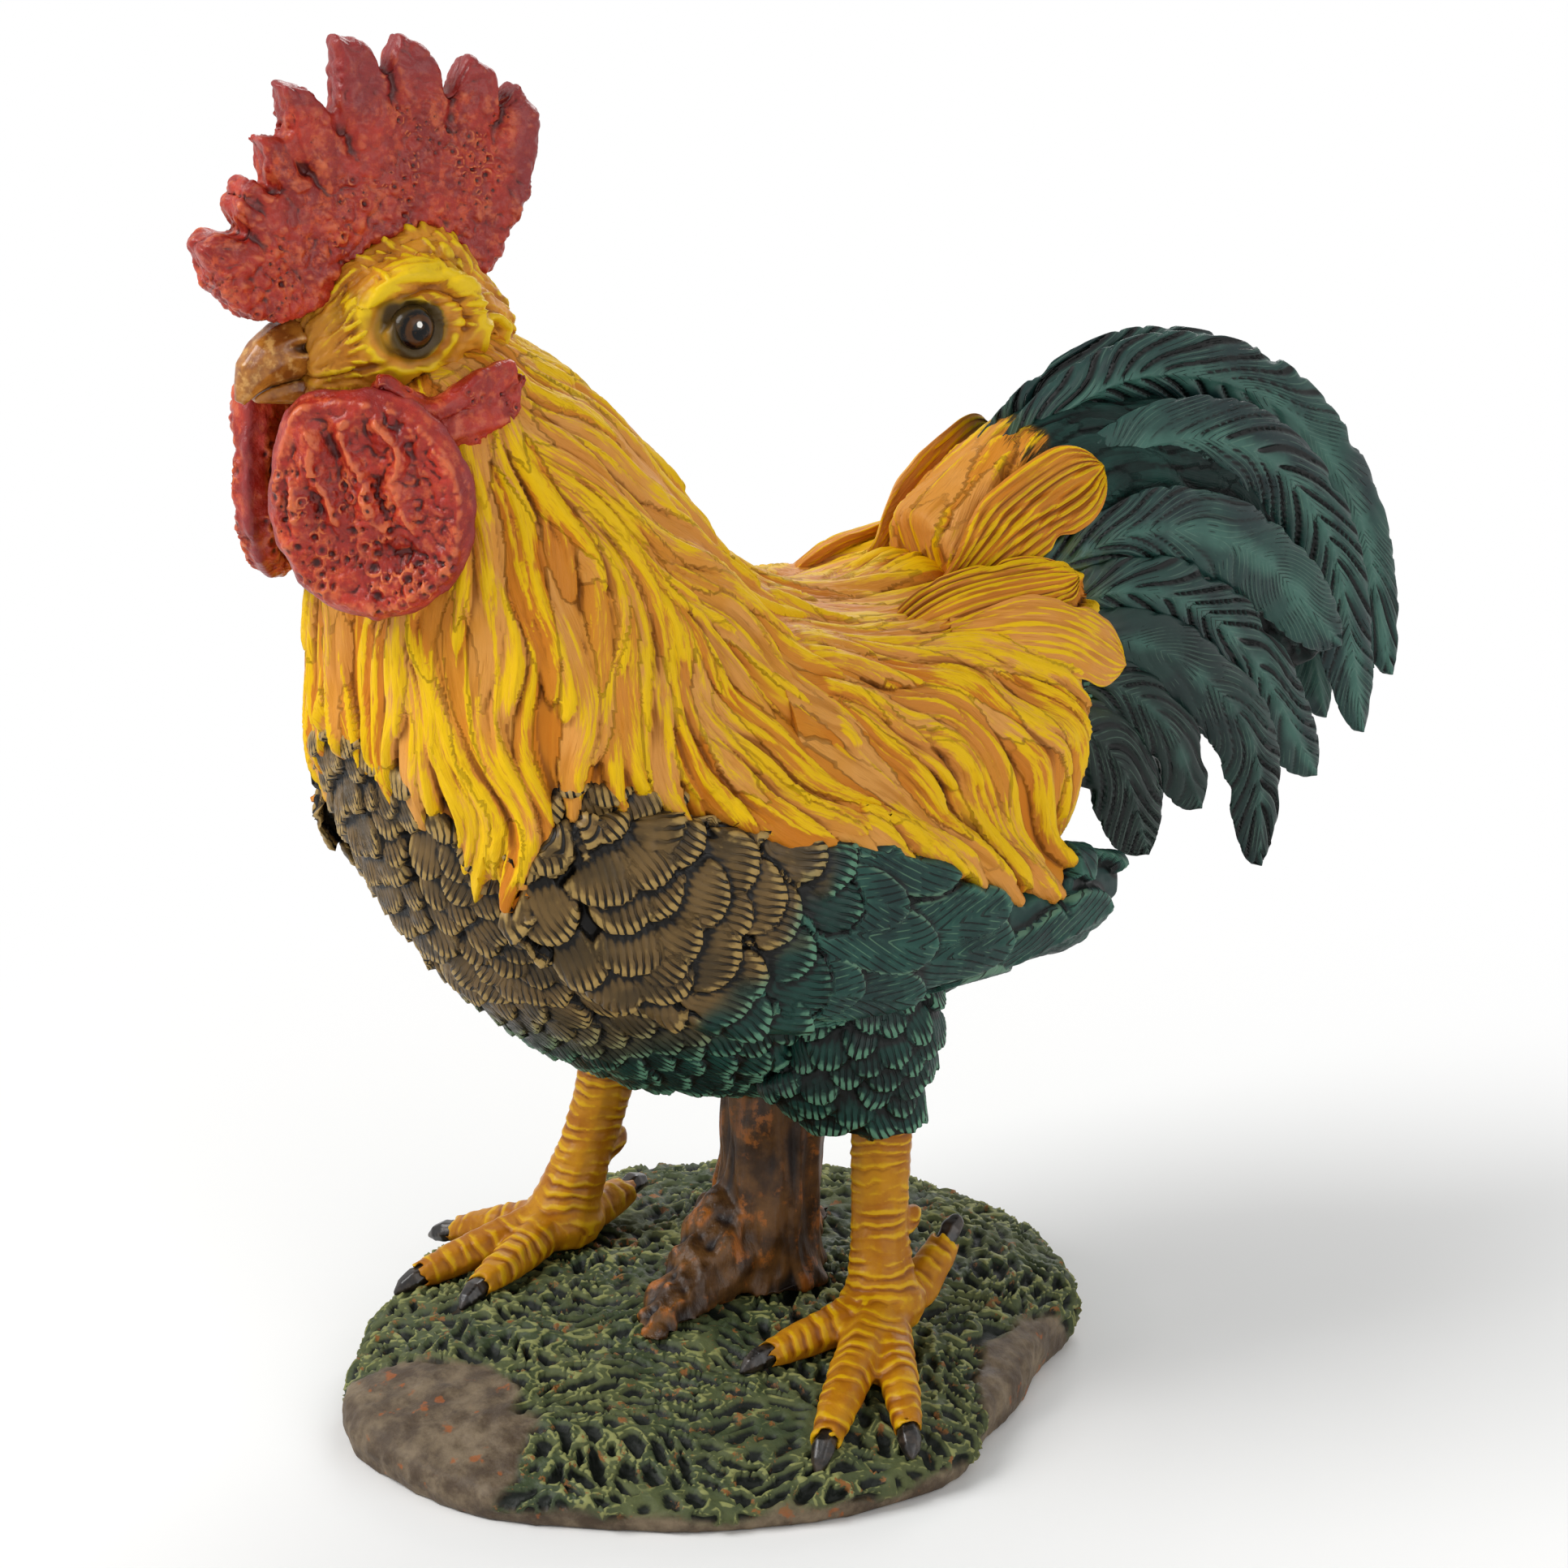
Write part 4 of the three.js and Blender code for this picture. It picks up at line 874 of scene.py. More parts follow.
def makeBlade(name, path, width, facing, look, seed):
    rings = int(curveThrough(path, 50)[1][-1] / look["spacing"]) + 1
    centre, along = curveThrough(path, rings)
    t = along / along[-1]
    tangent = np.gradient(centre, axis=0)
    tangent /= np.linalg.norm(tangent, axis=1)[:, None]
    wide = np.cross(tangent, np.asarray(facing, float) / np.linalg.norm(facing))
    wide /= np.linalg.norm(wide, axis=1)[:, None]
    thin = np.cross(wide, tangent)
    around = look["around"]
    turn = np.arange(around) / around * math.tau
    turn = turn + 0.2 * np.sin(2 * turn)           # closer together near the shaft
    ratio, side = np.cos(turn), np.sin(turn)
    beside = np.abs(ratio)
    tip = look["tipRound"]
    half = width / 2 * (look["root"] + (1 - look["root"]) * smooth(t, 0, 0.45))
    half = half * np.sqrt(np.maximum(1 - np.clip((t - 1 + tip) / tip, 0, 1) ** 2, 0.004))
    half = (half * (1 - look["narrow"] * smooth(t, 0.55, 1)))[:, None]
    thick = look["rootThick"] + (1 - look["rootThick"]) * smooth(t, 0, 0.35)
    thick = (look["thick"] / 2 * thick * (1 - 0.55 * smooth(t, 0.5, 1)))[:, None]

    def waves(size, second, third):
        return np.array([noise.noise(Vector((a / size, second, third))) for a in along])[:, None]
    notches = [np.maximum(waves(9, seed * k, depth), 0) ** 1.5 for k, depth in ((3.3, 5), (5.9, 9))]
    notch = np.where(ratio > 0, *notches) * beside ** 3
    reach = half * ratio * (1 - notch * look["notch"] / (width / 2) * 3)
    away = np.abs(reach)
    warp = np.array([[noise.noise(Vector((a / 26, r / 13, seed))) for r in row]
                     for row, a in zip(reach, along)])
    if look["fan"]:               # a plume: strands run along it
        phase = beside * look["fan"] + warp * 0.9 + seed * 0.37
        lock = bump(phase % 1 - 0.5, 0.2)
        bumps, crest = lock - 0.4, lock * (1.1 + t[:, None])
    else:                         # a tail feather: locks leave the shaft at a slant
        slant = look["slant"] * away
        phase = (along[:, None] - slant - look["bow"] * away ** 2 + warp * 13) / look["pitch"]
        lock = 1 - bump(phase % 1 - 0.5, 0.14)
        bumps, crest = lock - 1, np.zeros_like(lock)
        reach = reach * (1 - 0.08 * smooth(beside, 0.8, 1) * smooth(phase % 1, 0.6, 1))
    depth = 0.7 + 0.55 * np.sin(np.floor(phase) * 12.9 + seed * 4.1)
    fade = np.clip(away / 1.5, 0, 1) * np.clip((half - away) / 1.2 + 0.35, 0, 1)
    bumps = look["groove"] * depth * bumps * fade * 1.6
    shaft = look["shaft"] * bump(away, 0.9) * (1 - 0.7 * t[:, None])
    swell = (1 - beside ** 2.2) ** 0.75
    lean = waves(16, seed * 7.1, 0) * 0.8 * ratio
    rise = thick * swell + (bumps + shaft) * np.minimum(swell * 2, 1)
    height = np.where(side >= 0, 1.0, -1.0) * rise + lean
    points = centre[:, None] + wide[:, None] * reach[:, :, None] + thin[:, None] * height[:, :, None]
    obj = closedTube(name, points, [centre[:1], centre[-1:] + tangent[-1:] * 0.2])
    layers = {"across": reach, "relief": bumps + shaft * 0.8, "phase": phase, "crest": crest,
              "edge": 1 - away / np.maximum(half, 0.5)}
    setLayers(obj, **{key: [*entry.ravel(), 0, 0] for key, entry in layers.items()})
    setLayers(obj, along=[*np.repeat(along, around), 0, along[-1]],
              begin=[*np.repeat(smooth(along, 26, 4), around), 1, 0],
              shade=np.random.default_rng(seed).random())
    return obj


def tailPaint():
    p = Paint("tailFeather", 0.4, 0.28)
    shade, cloud = p.layer("shade"), p.speckle(26, 3)
    fine = p.sine(p.layer("phase"), 3)
    p.start(cloud, 0.35, 0.68, 0x12292A, 0x24463F)
    # painted shade: the lower tail feathers, whose shade layer is low, darker
    p.coat(shade, 0.7, 0.0, 1, 0x0C1F1A)
    # painted highlight: lighter along each feather's middle and in random patches, stronger on the upper
    # feathers
    crest = p.plus(p.fit(p.layer("edge"), 0.4, 1.0, 0, 0.4), p.times(p.speckle(12, 3), 0.7))
    p.coat(p.times(crest, p.fit(shade, 0, 1, 0.72, 1.08)), 0.42, 0.85, 0.8, 0x446E62)
    p.over(p.times(p.layer("begin"), p.fit(p.speckle(8, 3), 0.36, 0.58)), 0x3E4A1E)
    p.over(p.both((fine, 0.75, 1.0, 0, 0.22), (p.speckle(10, 3), 0.42, 0.58)), 0x7C9E88)
    score = p.both((fine, -0.8, -1.0, 0, 0.7), (p.speckle(9, 3), 0.5, 0.6))
    p.over(score, 0x060F0D)
    p.coat(p.layer("relief"), -0.15, -0.95, 1, 0x030807)
    return p.finish(p.times(score, -1.0), 0.4, (cloud, 0.3, 0.46))


def makeTail(hacklePaint):
    paint = tailPaint()
    for side, hand in hands.items():
        for index, (name, (width, path)) in enumerate(tailFeathers.items()):
            line = [(hand * (x + nearMiddle), y, z) + tailRoot for x, y, z in path]
            seed = index + (20 if hand > 0 else 40)
            obj = makeBlade(side + name.title().replace("_", ""), line, width, (1, 0, 0), bladeLook, seed)
            setLayers(obj, shade=1 - index / 6)       # painted light: the upper feathers lighter, the lower ones in painted shade
            finishPiece(obj, paint, [side + "_" + name])
        for index, (name, (width, lean, path)) in enumerate(plumes.items()):
            line = [(hand * x, y, z) + tailRoot for x, y, z in path]
            facing = (hand * lean[0], lean[1], lean[2])
            seed = index + (60 if hand > 0 else 80)
            obj = makeBlade(side + name.title().replace("_", ""), line, width, facing, plumeLook, seed)
            finishPiece(obj, hacklePaint, [side + "_" + name])


# Head, eyes and beak

headAt = np.array([0, -92, 283])
eyeAt = np.array([20.2, -100.6, 287])
earAt, mouthAt, nostrilAt = (-79, 281), (-116, 276.5), (-121, 282.5)         # seen from the side: Y and Z
eyeball = {"radius": 5.4, "flat": 0.82}
headFlow = [(-125, 285, 1, 0.1), (-110, 300, 0.9, 0.35), (-95, 305, 1, 0.1), (-75, 300, 0.85, -0.5),
            (-70, 280, 0.6, -0.8), (-80, 262, 0.4, -0.9), (-105, 262, 0.5, -0.6), (-118, 270, 0.8, -0.5)]
hairLook = {
    "width": (1.6, 3.2), "root": 0.5, "belly": 0.4, "tip": 0.6, "tipPower": (1.6, 0.8),
    "round": 0.8, "crown": 0.5, "rise": 0.7, "low": -0.6, "high": 0.35, "climb": 0.8, "jitter": 0.12,
    "ribs": 0.0, "pitch": 2.0, "slope": 2.0, "slopeReach": 0.9, "soft": 10,
}
tuftFlow = [(-118, 298, -0.5, 0.87), (-100, 306, -0.45, 0.9), (-80, 306, -0.2, 1), (-70, 300, 0.3, 0.95)]
tuftLook = {
    "width": (1.8, 3.0), "root": 0.6, "belly": 0.4, "tip": 0.5, "tipPower": (1.8, 0.6),
    "round": 1.0, "crown": 0.4, "rise": 1.0, "low": -0.5, "high": 1.0, "climb": 0.9, "jitter": 0.2,
    "ribs": 0.0, "pitch": 2.0, "slope": 2.6, "slopeReach": 0.9, "soft": 10,
}


def facePaint():
    p = Paint("faceSkin", 0.48, 0.25)
    relief, socket, stroke = p.layer("relief"), p.layer("socket"), p.streaks(0.6, 9, 2, 0.6)
    p.start(p.speckle(9, 4), 0.36, 0.64, 0xB06C14, 0xD8942A)
    p.coat(p.speckle(13, 2), 0.52, 0.66, 0.6, 0xA87C08)
    brushed = p.plus(p.fit(relief, -0.1, 0.75, 0, 0.6), p.times(stroke, 0.5))
    p.coat(p.plus(brushed, p.times(p.layer("glow"), 0.3)), 0.36, 0.68, 0.95, 0xE6C010)
    p.coat(relief, -0.22, -0.8, 0.85, 0x7C440C)
    p.over(p.layer("horn"), 0xB07422)
    # around the eye: the dark brown lid, and painted shade in the socket around it
    p.coat(socket, 0.0, 0.55, 0.85, 0x8A6A18)
    p.coat(socket, 0.5, 1.0, 0.92, 0x35260E)
    return p.finish(p.speckle(1.4, 3), 0.12, (stroke, 0.36, 0.52))


def makeHead():
    obj = remeshed("headSkin", ["head", "left_eye", "right_eye"], "head")
    surface = Surface(obj)
    subdivide(obj)
    points, normals = pointsOf(obj), normalsOf(obj)
    x, y, z = points.T
    push, socket, glow = (np.zeros(len(points)) for _ in range(3))
    u, v = y - eyeAt[1], z - eyeAt[2]
    ring, wide = np.hypot(u, v), np.hypot((u - 3.5) / 1.2, v - 0.3)
    ear = np.hypot((y - earAt[0]) / 0.85, z - earAt[1])
    over = smooth(v + u * 0.2, -3, 3)
    folds = [(0.9, ring, 6.8, 0.8, 1), (-1.5, wide, 8.4, 1.1, 0.3 + 0.7 * over),      # eyelid and crease
             (2.8, wide, 11.2, 1.8, over), (-1.1, wide, 14.6, 1.1, over),             # brow
             (0.9, ring, 10.2, 1.3, 1 - over)]
    # the dark lid and the painted shade of the socket: full next to the eye, gone by 8.8 mm
    seat = smooth(ring + noiseAt(points, 4) * 1.2, 8.8, 5.9)
    for hand in hands.values():
        beside = smooth(x * hand, 6, 11)
        push -= beside * 3.6 * smooth(ring, 6.1, 4.5)                 # the eye sits in it
        for high, away, middle, width, share in folds:
            push += beside * high * bump(away - middle, width) * share
        push += beside * (2.6 * bump(ear - 5.0, 1.2) - 2.4 * bump(ear, 2.8))
        socket = np.maximum(socket, beside * seat)
        glow += beside * (over * bump(wide - 11.4, 2.4) + bump(ear - 5.0, 1.6)
                          + 0.8 * (1 - over) * bump(ring - 10.6, 2.2))
    cheek = smooth(z, 276, 270) * smooth(y, -74, -84)
    push += cheek * (noiseAt(points, 3.2, 4) * 1.1 + noiseAt(points, 7, 6) * 0.8)
    push += noiseAt(points * (1, 0.45, 1), 1.7, 8) * 0.35
    mouth = z - mouthAt[1] - (y - mouthAt[0]) * 0.25
    push -= 1.2 * bump(mouth, 0.8) * smooth(y, -104, -110)
    pushOut(obj, points, normals, push)
    folded = push - averaged(edgesOf(obj), push, 10)
    horn = smooth(y + noiseAt(points, 5, 3) * 3, -114, -119) * smooth(z, 292, 287)
    x, y, z = surface.points.T
    beside, ear = np.hypot(y - eyeAt[1], z - eyeAt[2]), np.hypot(y - earAt[0], z - earAt[1])
    free = ((z > 300) | (y > -82) | (y < -110) | (beside > 15)) & (ear > 8) & (z > 266)
    tips = scatter(surface.points[free], 2.5, 71)
    hairs = layFeathers(surface, tips, headFlow, (9, 20), 72, 1.5, 0.5, 0.4)
    tips = scatter(surface.points[(z > 300) & (np.abs(x) > 4)], 3.4, 75)
    tufts = layFeathers(surface, tips, tuftFlow, (5, 9), 76, 1.0, 0.8, 0.5)
    points, normals = pointsOf(obj), normalsOf(obj)
    height, fields = heightsOver(points, normals, hairs, hairLook, -0.3, 73)
    upper, upperFields = heightsOver(points, normals, tufts, tuftLook, -0.3, 77)
    win = upper > height + 0.3
    height = np.where(win, upper, height)
    pushOut(obj, points, normals, height)
    layersWhere(obj, win, upperFields, fields)
    relief = height - averaged(edgesOf(obj), height, 10) + folded * 1.4
    setLayers(obj, relief=relief, socket=socket, horn=horn * 0.8, glow=glow)
    finishPiece(obj, facePaint(), ["head"])


def makeEye(side, hand):
    middle = eyeAt * (hand, 1, 1)
    clearSelection()
    centre = Vector(middle) * mm + birdMiddle
    bpy.ops.mesh.primitive_uv_sphere_add(segments=40, ring_count=24, location=centre,
                                         radius=eyeball["radius"] * mm,
                                         rotation=(0, math.radians(90) * hand, 0))
    obj = bpy.context.object
    obj.name = side + "Eye"
    bpy.ops.object.transform_apply(location=True, rotation=True, scale=True)
    points = pointsOf(obj)
    points[:, 0] = middle[0] + (points[:, 0] - middle[0]) * eyeball["flat"]
    movePoints(obj, points)
    across, up = points[:, 1] - middle[1], points[:, 2] - middle[2]
    setLayers(obj, reach=np.hypot(across, up), glint=np.hypot(across + 0.3, up - 1.5))
    p = Paint(side + "EyePaint", 0.2, 0.2)
    ring = p.layer("reach")
    p.start(ring, 2.1, 2.5, 0x040303, 0x4A2C10)
    p.coat(ring, 3.3, 3.8, 1, 0x0A0705)
    p.coat(ring, 4.2, 4.8, 1, 0x342813)
    p.coat(p.speckle(1.2, 3), 0.5, 0.72, 0.4, 0x5A3A18)
    p.coat(p.layer("glint"), 0.85, 0.6, 1, 0xF4F1EA)          # painted glint
    finishPiece(obj, p.finish(), [side + "_eye"])


def makeBeak():
    p = Paint("beakHorn", 0.28, 0.35, 0.3)
    p.start(p.speckle(6, 4, 0.6), 0.35, 0.65, 0x7E4616, 0xB27428)
    # pale flecks: painted highlight of the glossy horn, in random spots
    p.coat(p.speckle(2.5, 3), 0.5, 0.72, 0.7, 0xD8A85E)
    p.coat(p.layer("relief"), -0.1, -0.7, 1, 0x4A2A10)
    paint = p.finish(p.speckle(1.1, 3), 0.1)
    for part in ("upper", "lower"):
        obj, points, normals = cast(part + "Beak", [part + "_beak"], "beak")
        x, y, z = points.T
        push = np.zeros(len(points))
        if part == "upper":
            slot = ((y - nostrilAt[0]) / 2.8) ** 2 + ((z - nostrilAt[1]) / 1.1) ** 2
            push -= 1.2 * np.exp(-slot) * (np.abs(x) > 3)
            push += 0.5 * bump(np.sqrt(slot) - 1.9, 0.6) * (np.abs(x) > 3)
        push += noiseAt(points, 3.0) * 0.15
        pushOut(obj, points, normals, push)
        setLayers(obj, relief=push)
        finishPiece(obj, paint, [part + "_beak"])


# Comb, wattles and ear lobes: waxy red flesh with pits

def fleshPaint():
    p = Paint("combFlesh", 0.34, 0.3, 0.1)
    pit, relief, cloud = p.layer("pit"), p.layer("relief"), p.speckle(12, 4, 0.6)
    p.start(cloud, 0.32, 0.68, 0x85170F, 0xB03020)
    p.over(p.both((p.speckle(2.4, 4, 0.65), 0.45, 0.66), (p.speckle(16, 2), 0.42, 0.6, 0.15, 0.8)), 0xCB5228)
    p.coat(p.speckle(5.5, 3, 0.6), 0.5, 0.66, 0.55, 0x7A1A18)
    p.coat(p.speckle(4.2, 3, 0.6), 0.53, 0.68, 0.6, 0xD0643A)
    p.coat(p.layer("height"), 0.25, 1.0, 0.8, 0x84282A)
    p.coat(relief, 0.18, 0.7, 0.85, 0xD46C40)
    p.over(p.both((pit, 0.3, 0.75), (p.speckle(5, 3), 0.42, 0.6, 0, 0.9)), 0xD66C38)
    p.coat(pit, -0.15, -0.8, 1, 0x400806)
    p.coat(relief, -0.12, -0.6, 0.95, 0x4A0A08)
    return p.finish(p.speckle(1.5, 4, 0.6), 0.35, (cloud, 0.26, 0.4))


def pitted(obj, strength, gap, radius, seed):       # pits with raised rims, scattered over the surface
    points, normals = pointsOf(obj), normalsOf(obj)
    seeds = scatter(points[::5], gap, seed)
    sizes = np.random.default_rng(seed).uniform(*radius, len(seeds))
    tree = treeOf(seeds)
    pit = np.zeros(len(points))
    for row in np.nonzero(strength > 0.02)[0]:
        deep = 0.0
        for _, index, away in tree.find_n(Vector(points[row]), 2):
            ring = away / sizes[index]
            if deep >= 0:
                deep = max(deep, math.exp(-((ring - 1.15) / 0.32) ** 2))
            if ring < 0.9:
                deep = -(1 - ring / 0.9) ** 0.6
        pit[row] = deep
    pit *= strength
    pushOut(obj, points, normals, pit * 0.55)
    return pit


def finishFlesh(obj, paint, node, push, **layers):
    setLayers(obj, relief=push - averaged(edgesOf(obj), push, 20), **layers)
    finishPiece(obj, paint, [node])


combNotches = [(-44, 28, -34, 22), (-43.5, 36, -33, 29), (-35.5, 37, -25, 28), (-27.5, 41, -18, 30),
               (-17, 49, -9, 34), (-4, 62, 1, 42), (12.5, 55, 12, 38), (27, 51.5, 22, 36)]
combMiddle, combSnout, combLobe = (6.0, 14.0), (-118, 296), (-74, 318)
wattleAt = np.array([22.6, -113.4, 248])
combTips = [(-50.5, 24), (-43.5, 36), (-36, 47), (-30, 59), (-15.5, 67), (0, 68), (18, 60), (30, 54)]


def crinkle(points, size, shift):         # fine creases, with flat ground between them
    return np.clip(np.abs(noiseAt(points, size, shift)) * 3.2, 0, 1) - 0.6


def makeComb(paint):
    obj, points, normals = cast("combFleshy", ["comb"], "comb")
    _, y, z = points.T
    flat = points[:, 1:] - headAt[1:]
    creases, drawn = np.zeros(len(points)), np.zeros((len(points), 2))
    for y1, z1, y2, z2 in combNotches:
        way = np.array([y2 - y1, z2 - z1], float)
        size = np.hypot(*way)
        way /= size
        rel = flat - (y1, z1)
        down = rel @ way
        side = rel[:, 0] * way[1] - rel[:, 1] * way[0] + np.sin(down * 0.5) * 0.5
        creases = np.maximum(creases, bump(side, 1.5) * smooth(down, size, 1) * smooth(down, -3, 0))
        drawn += way * (2.6 * np.exp(-((rel ** 2).sum(1)) / 2.4 ** 2))[:, None]
    for y1, z1 in combTips:
        away = np.array([y1 - 2, z1 - 10], float)
        rel = flat - (y1, z1)
        drawn += away / np.hypot(*away) * (2.4 * np.exp(-((rel ** 2).sum(1)) / 2.6 ** 2))[:, None]
    height = smooth(z + noiseAt(points, 14) * 6, 322, 346)
    height = np.maximum(height, smooth(y + noiseAt(points, 10) * 4, -68, -60))
    back, up = (flat - combMiddle).T
    grooves = np.sin(np.arctan2(up, back) * 17 + noiseAt(points, 9) * 2.4)
    grooves = 0.35 * grooves * smooth(np.hypot(back, up), 16, 34)
    lump = noiseAt(points, 7, 3) * 0.9 + crinkle(points, 3.4, 9) * 0.5 + crinkle(points, 1.9, 2) * 0.2
    snout = dome((y - combSnout[0]) / 4.5, (z - combSnout[1]) / 4)
    foot = smooth(z, 318, 306) * np.abs(noiseAt(points, 2.8, 6)) * 1.1
    push = grooves + lump + snout * 0.8 + foot - creases * 1.7
    points = points + normals * push[:, None]
    points[:, 1:] += drawn
    movePoints(obj, points)
    _, y, z = points.T
    strength = smooth(noiseAt(points, 9, 8), 0.0, 0.4) * smooth(z, 342, 328)
    lobe = dome((y - combLobe[0]) / 8, (z - combLobe[1]) / 11)
    strength = np.maximum(strength, smooth(lobe, 0.35, 0.7))
    pit = pitted(obj, strength, 2.2, (0.4, 1.1), 91)
    finishFlesh(obj, paint, "comb", push, pit=pit, height=height)


def makeWattle(side, hand, paint):
    obj, points, normals = cast(side + "Wattle", [side + "_wattle"], "wattle")
    rel = points - wattleAt * (hand, 1, 1)
    wide = np.array([0.7071 * hand, 0.7071, 0])           # across the plate, to the back
    u, v = rel @ wide, rel[:, 2]
    ring = np.sqrt((u / np.abs(u).max()) ** 2 + (v / np.abs(v).max()) ** 2)
    corner = dome((u + 14) / 9, (v - 19) / 9) * 4.0       # the plate is fuller at the beak
    lean = u + v * 0.22 + noiseAt(points, 9) * 3
    folded = smooth(v, -9, 0) * smooth(ring, 0.84, 0.7) * smooth(np.abs(u + 3), 17, 13)
    push = 1.7 * bump(ring - 0.86, 0.07) - 1.9 * smooth(ring, 0.8, 0.45)
    push += folded * 3.3 * (1 - np.abs(np.sin(lean * 0.36))) ** 0.75
    push += 1.6 * bump(u + 15 - v * 0.1, 2.6) * smooth(v, -16, -6) * smooth(ring, 0.95, 0.85)
    push -= 2.8 * dome((u - 3 + v * 0.4) / 6, (v + 11) / 3.0)
    fine = crinkle(points, 3.6, 5) * (0.4 + 0.4 * smooth(u, -2, 6)) + crinkle(points, 2.0, 8) * 0.4
    push += smooth(ring, 0.95, 0.8) * fine
    push += noiseAt(points, 5, 2) * 0.7
    fuller = wide * (-corner * 0.6)[:, None] + np.array([0, 0, 0.7]) * corner[:, None]
    points = points + normals * push[:, None] + fuller
    movePoints(obj, points)
    low = smooth(v, -7, -12) * smooth(ring, 0.97, 0.9)
    left = smooth(u, -8, -12) * smooth(ring, 0.95, 0.88) * smooth(v, 14, 6)
    centre = smooth(np.abs(u + 1), 9, 6) * smooth(np.abs(v), 12, 8)
    strength = np.maximum(np.maximum(low, left), centre) * smooth(noiseAt(points, 6, 5), -0.35, 0.1)
    pit = pitted(obj, strength, 2.5, (0.6, 1.7), 95)
    finishFlesh(obj, paint, side + "_wattle", push, pit=pit, height=smooth(ring, 0.93, 1.0) * 0.9)


def makeEarlobe(side, paint):
    obj, points, normals = cast(side + "Earlobe", [side + "_earlobe"], "earlobe")
    low, high = points.min(0), points.max(0)
    t = (points[:, 1] - low[1]) / (high[1] - low[1])
    middle = low[2] + (high[2] - low[2]) * (0.32 + 0.42 * t)
    gap = points[:, 2] - middle
    push = 1.1 * bump(np.abs(gap) - 4.2 - 2.2 * t, 1.6) - 1.3 * bump(gap, 2.2 + 1.6 * t)
    push += noiseAt(points, 3.5, 6) * 0.8
    points = points + normals * push[:, None]
    points[:, 2] -= smooth(gap, -1, 3) * (3.6 * bump(t - 0.36, 0.2) + 2.5 * smooth(t, 0.9, 1.0))
    points[:, 2] += smooth(-gap, -1, 3) * (2.5 * smooth(t, 0.3, 0) + 3.5 * smooth(t, 0.82, 1.0))
    movePoints(obj, points)
    pit = pitted(obj, smooth(noiseAt(points, 8, 1), 0.0, 0.25), 2.4, (0.6, 1.0), 97)
    finishFlesh(obj, paint, side + "_earlobe", push, pit=pit, height=0)


# Legs and claws

toes = ("inner", "middle", "outer", "back")
legs = {
    "left": {"ankle": np.array([49, 11, 31.0]), "hip": np.array([36, 13, 100.0])},
    "right": {"ankle": np.array([-41, -27.5, 31.0]), "hip": np.array([-36, -16, 100.0])},
    "toePitch": 4.2, "shankPitch": 3.0, "scute": 0.42,
}


def legPaint():
    p = Paint("shankSkin", 0.42, 0.18)
    relief, cloud = p.layer("relief"), p.speckle(11, 4, 0.6)
    p.start(cloud, 0.36, 0.64, 0xA4640E, 0xBC8010)
    crest = p.plus(p.fit(relief, -0.1, 0.3, 0, 0.5), p.times(p.speckle(2.6, 3), 0.6))
    p.coat(crest, 0.42, 0.75, 0.9, 0xD4A40C)
    p.coat(relief, -0.06, -0.3, 0.85, 0x7E4408)
    return p.finish(p.speckle(1.2, 3), 0.12, (cloud, 0.32, 0.46))


def makeLeg(side, paint):
    obj, points, normals = cast(side + "Leg", [side + "_leg"], "leg")
    ankle = legs[side]["ankle"]
    best, band = np.full(len(points), 1e9), np.zeros(len(points))
    lines = [(ankle, legs[side]["hip"], legs["shankPitch"], -1.0)]
    for toe in toes:
        claw = np.array(boxMiddle(side + "_" + toe + "_claw")) / mm - birdShift
        lines.append((ankle + (0, 0, -8), claw, legs["toePitch"], 1.0))
    for start, end, pitch, way in lines:          # rings of scales along the shank and each toe
        step = end - start
        size = np.linalg.norm(step)
        share = np.clip((points - start) @ step / size ** 2, 0, 1)
        gap = points - start - share[:, None] * step
        away = np.linalg.norm(gap, axis=1)
        win = away < best
        best = np.where(win, away, best)
        wobble = noiseAt(points, 9, pitch) * 2.0 + noiseAt(points, 3.5, pitch) * 0.8
        saw = (share * size * way + wobble) / pitch % 1
        crest = np.minimum(saw / 0.78, (1 - saw) / 0.22)
        facing = np.clip(gap[:, 2] / np.maximum(away, 0.1) * 1.4 + 0.5, 0, 1) if way > 0 else 1.0
        band = np.where(win, (crest - 0.5) * facing, band)
    band *= np.clip(0.75 + noiseAt(points, 8, 3) * 1.3, 0.35, 1.3)
    pushOut(obj, points, normals, legs["scute"] * band + noiseAt(points, 4, 9) * 0.25)
    setLayers(obj, relief=band * 0.6)
    finishPiece(obj, paint, [side + "_leg"])


def makeClaws():
    p = Paint("clawHorn", 0.32, 0.4, 0.1)
    p.start(p.speckle(3, 3), 0.4, 0.7, 0x14100E, 0x3A3028)
    paint = p.finish(p.speckle(1.5, 2), 0.1)
    for side in hands:
        for toe in toes:
            name = side + "_" + toe + "_claw"
            obj, points, _ = cast(side + toe.title() + "Claw", [name], "claw")
            way = points.mean(0) - legs[side]["ankle"]
            way = np.array([way[0], way[1], 0]) / np.hypot(way[0], way[1])
            reach = points @ way
            reach -= reach.min() + 2.0
            movePoints(obj, points - way * (np.maximum(reach, 0) * 0.26)[:, None])        # shorter tip
            finishPiece(obj, paint, [name])


def makeRods():
    p = Paint("rodSteel", 0.35)
    p.shader.inputs["Metallic"].default_value = 1.0
    p.colour = p.mix(p.speckle(5, 4), 0x6C6E70, 0x9A9B9C)
    paint = p.finish(p.speckle(0.8, 2), 0.03)
    for side in hands:
        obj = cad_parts[side + "_leg_rod"]
        obj.data.materials.clear()
        obj.data.materials.append(paint)


# Ground and stump

ground = {"cell": 5.2, "depth": 2.3, "rocks": [((16, -108, 2), 37), ((84, 62, 2), 40)]}


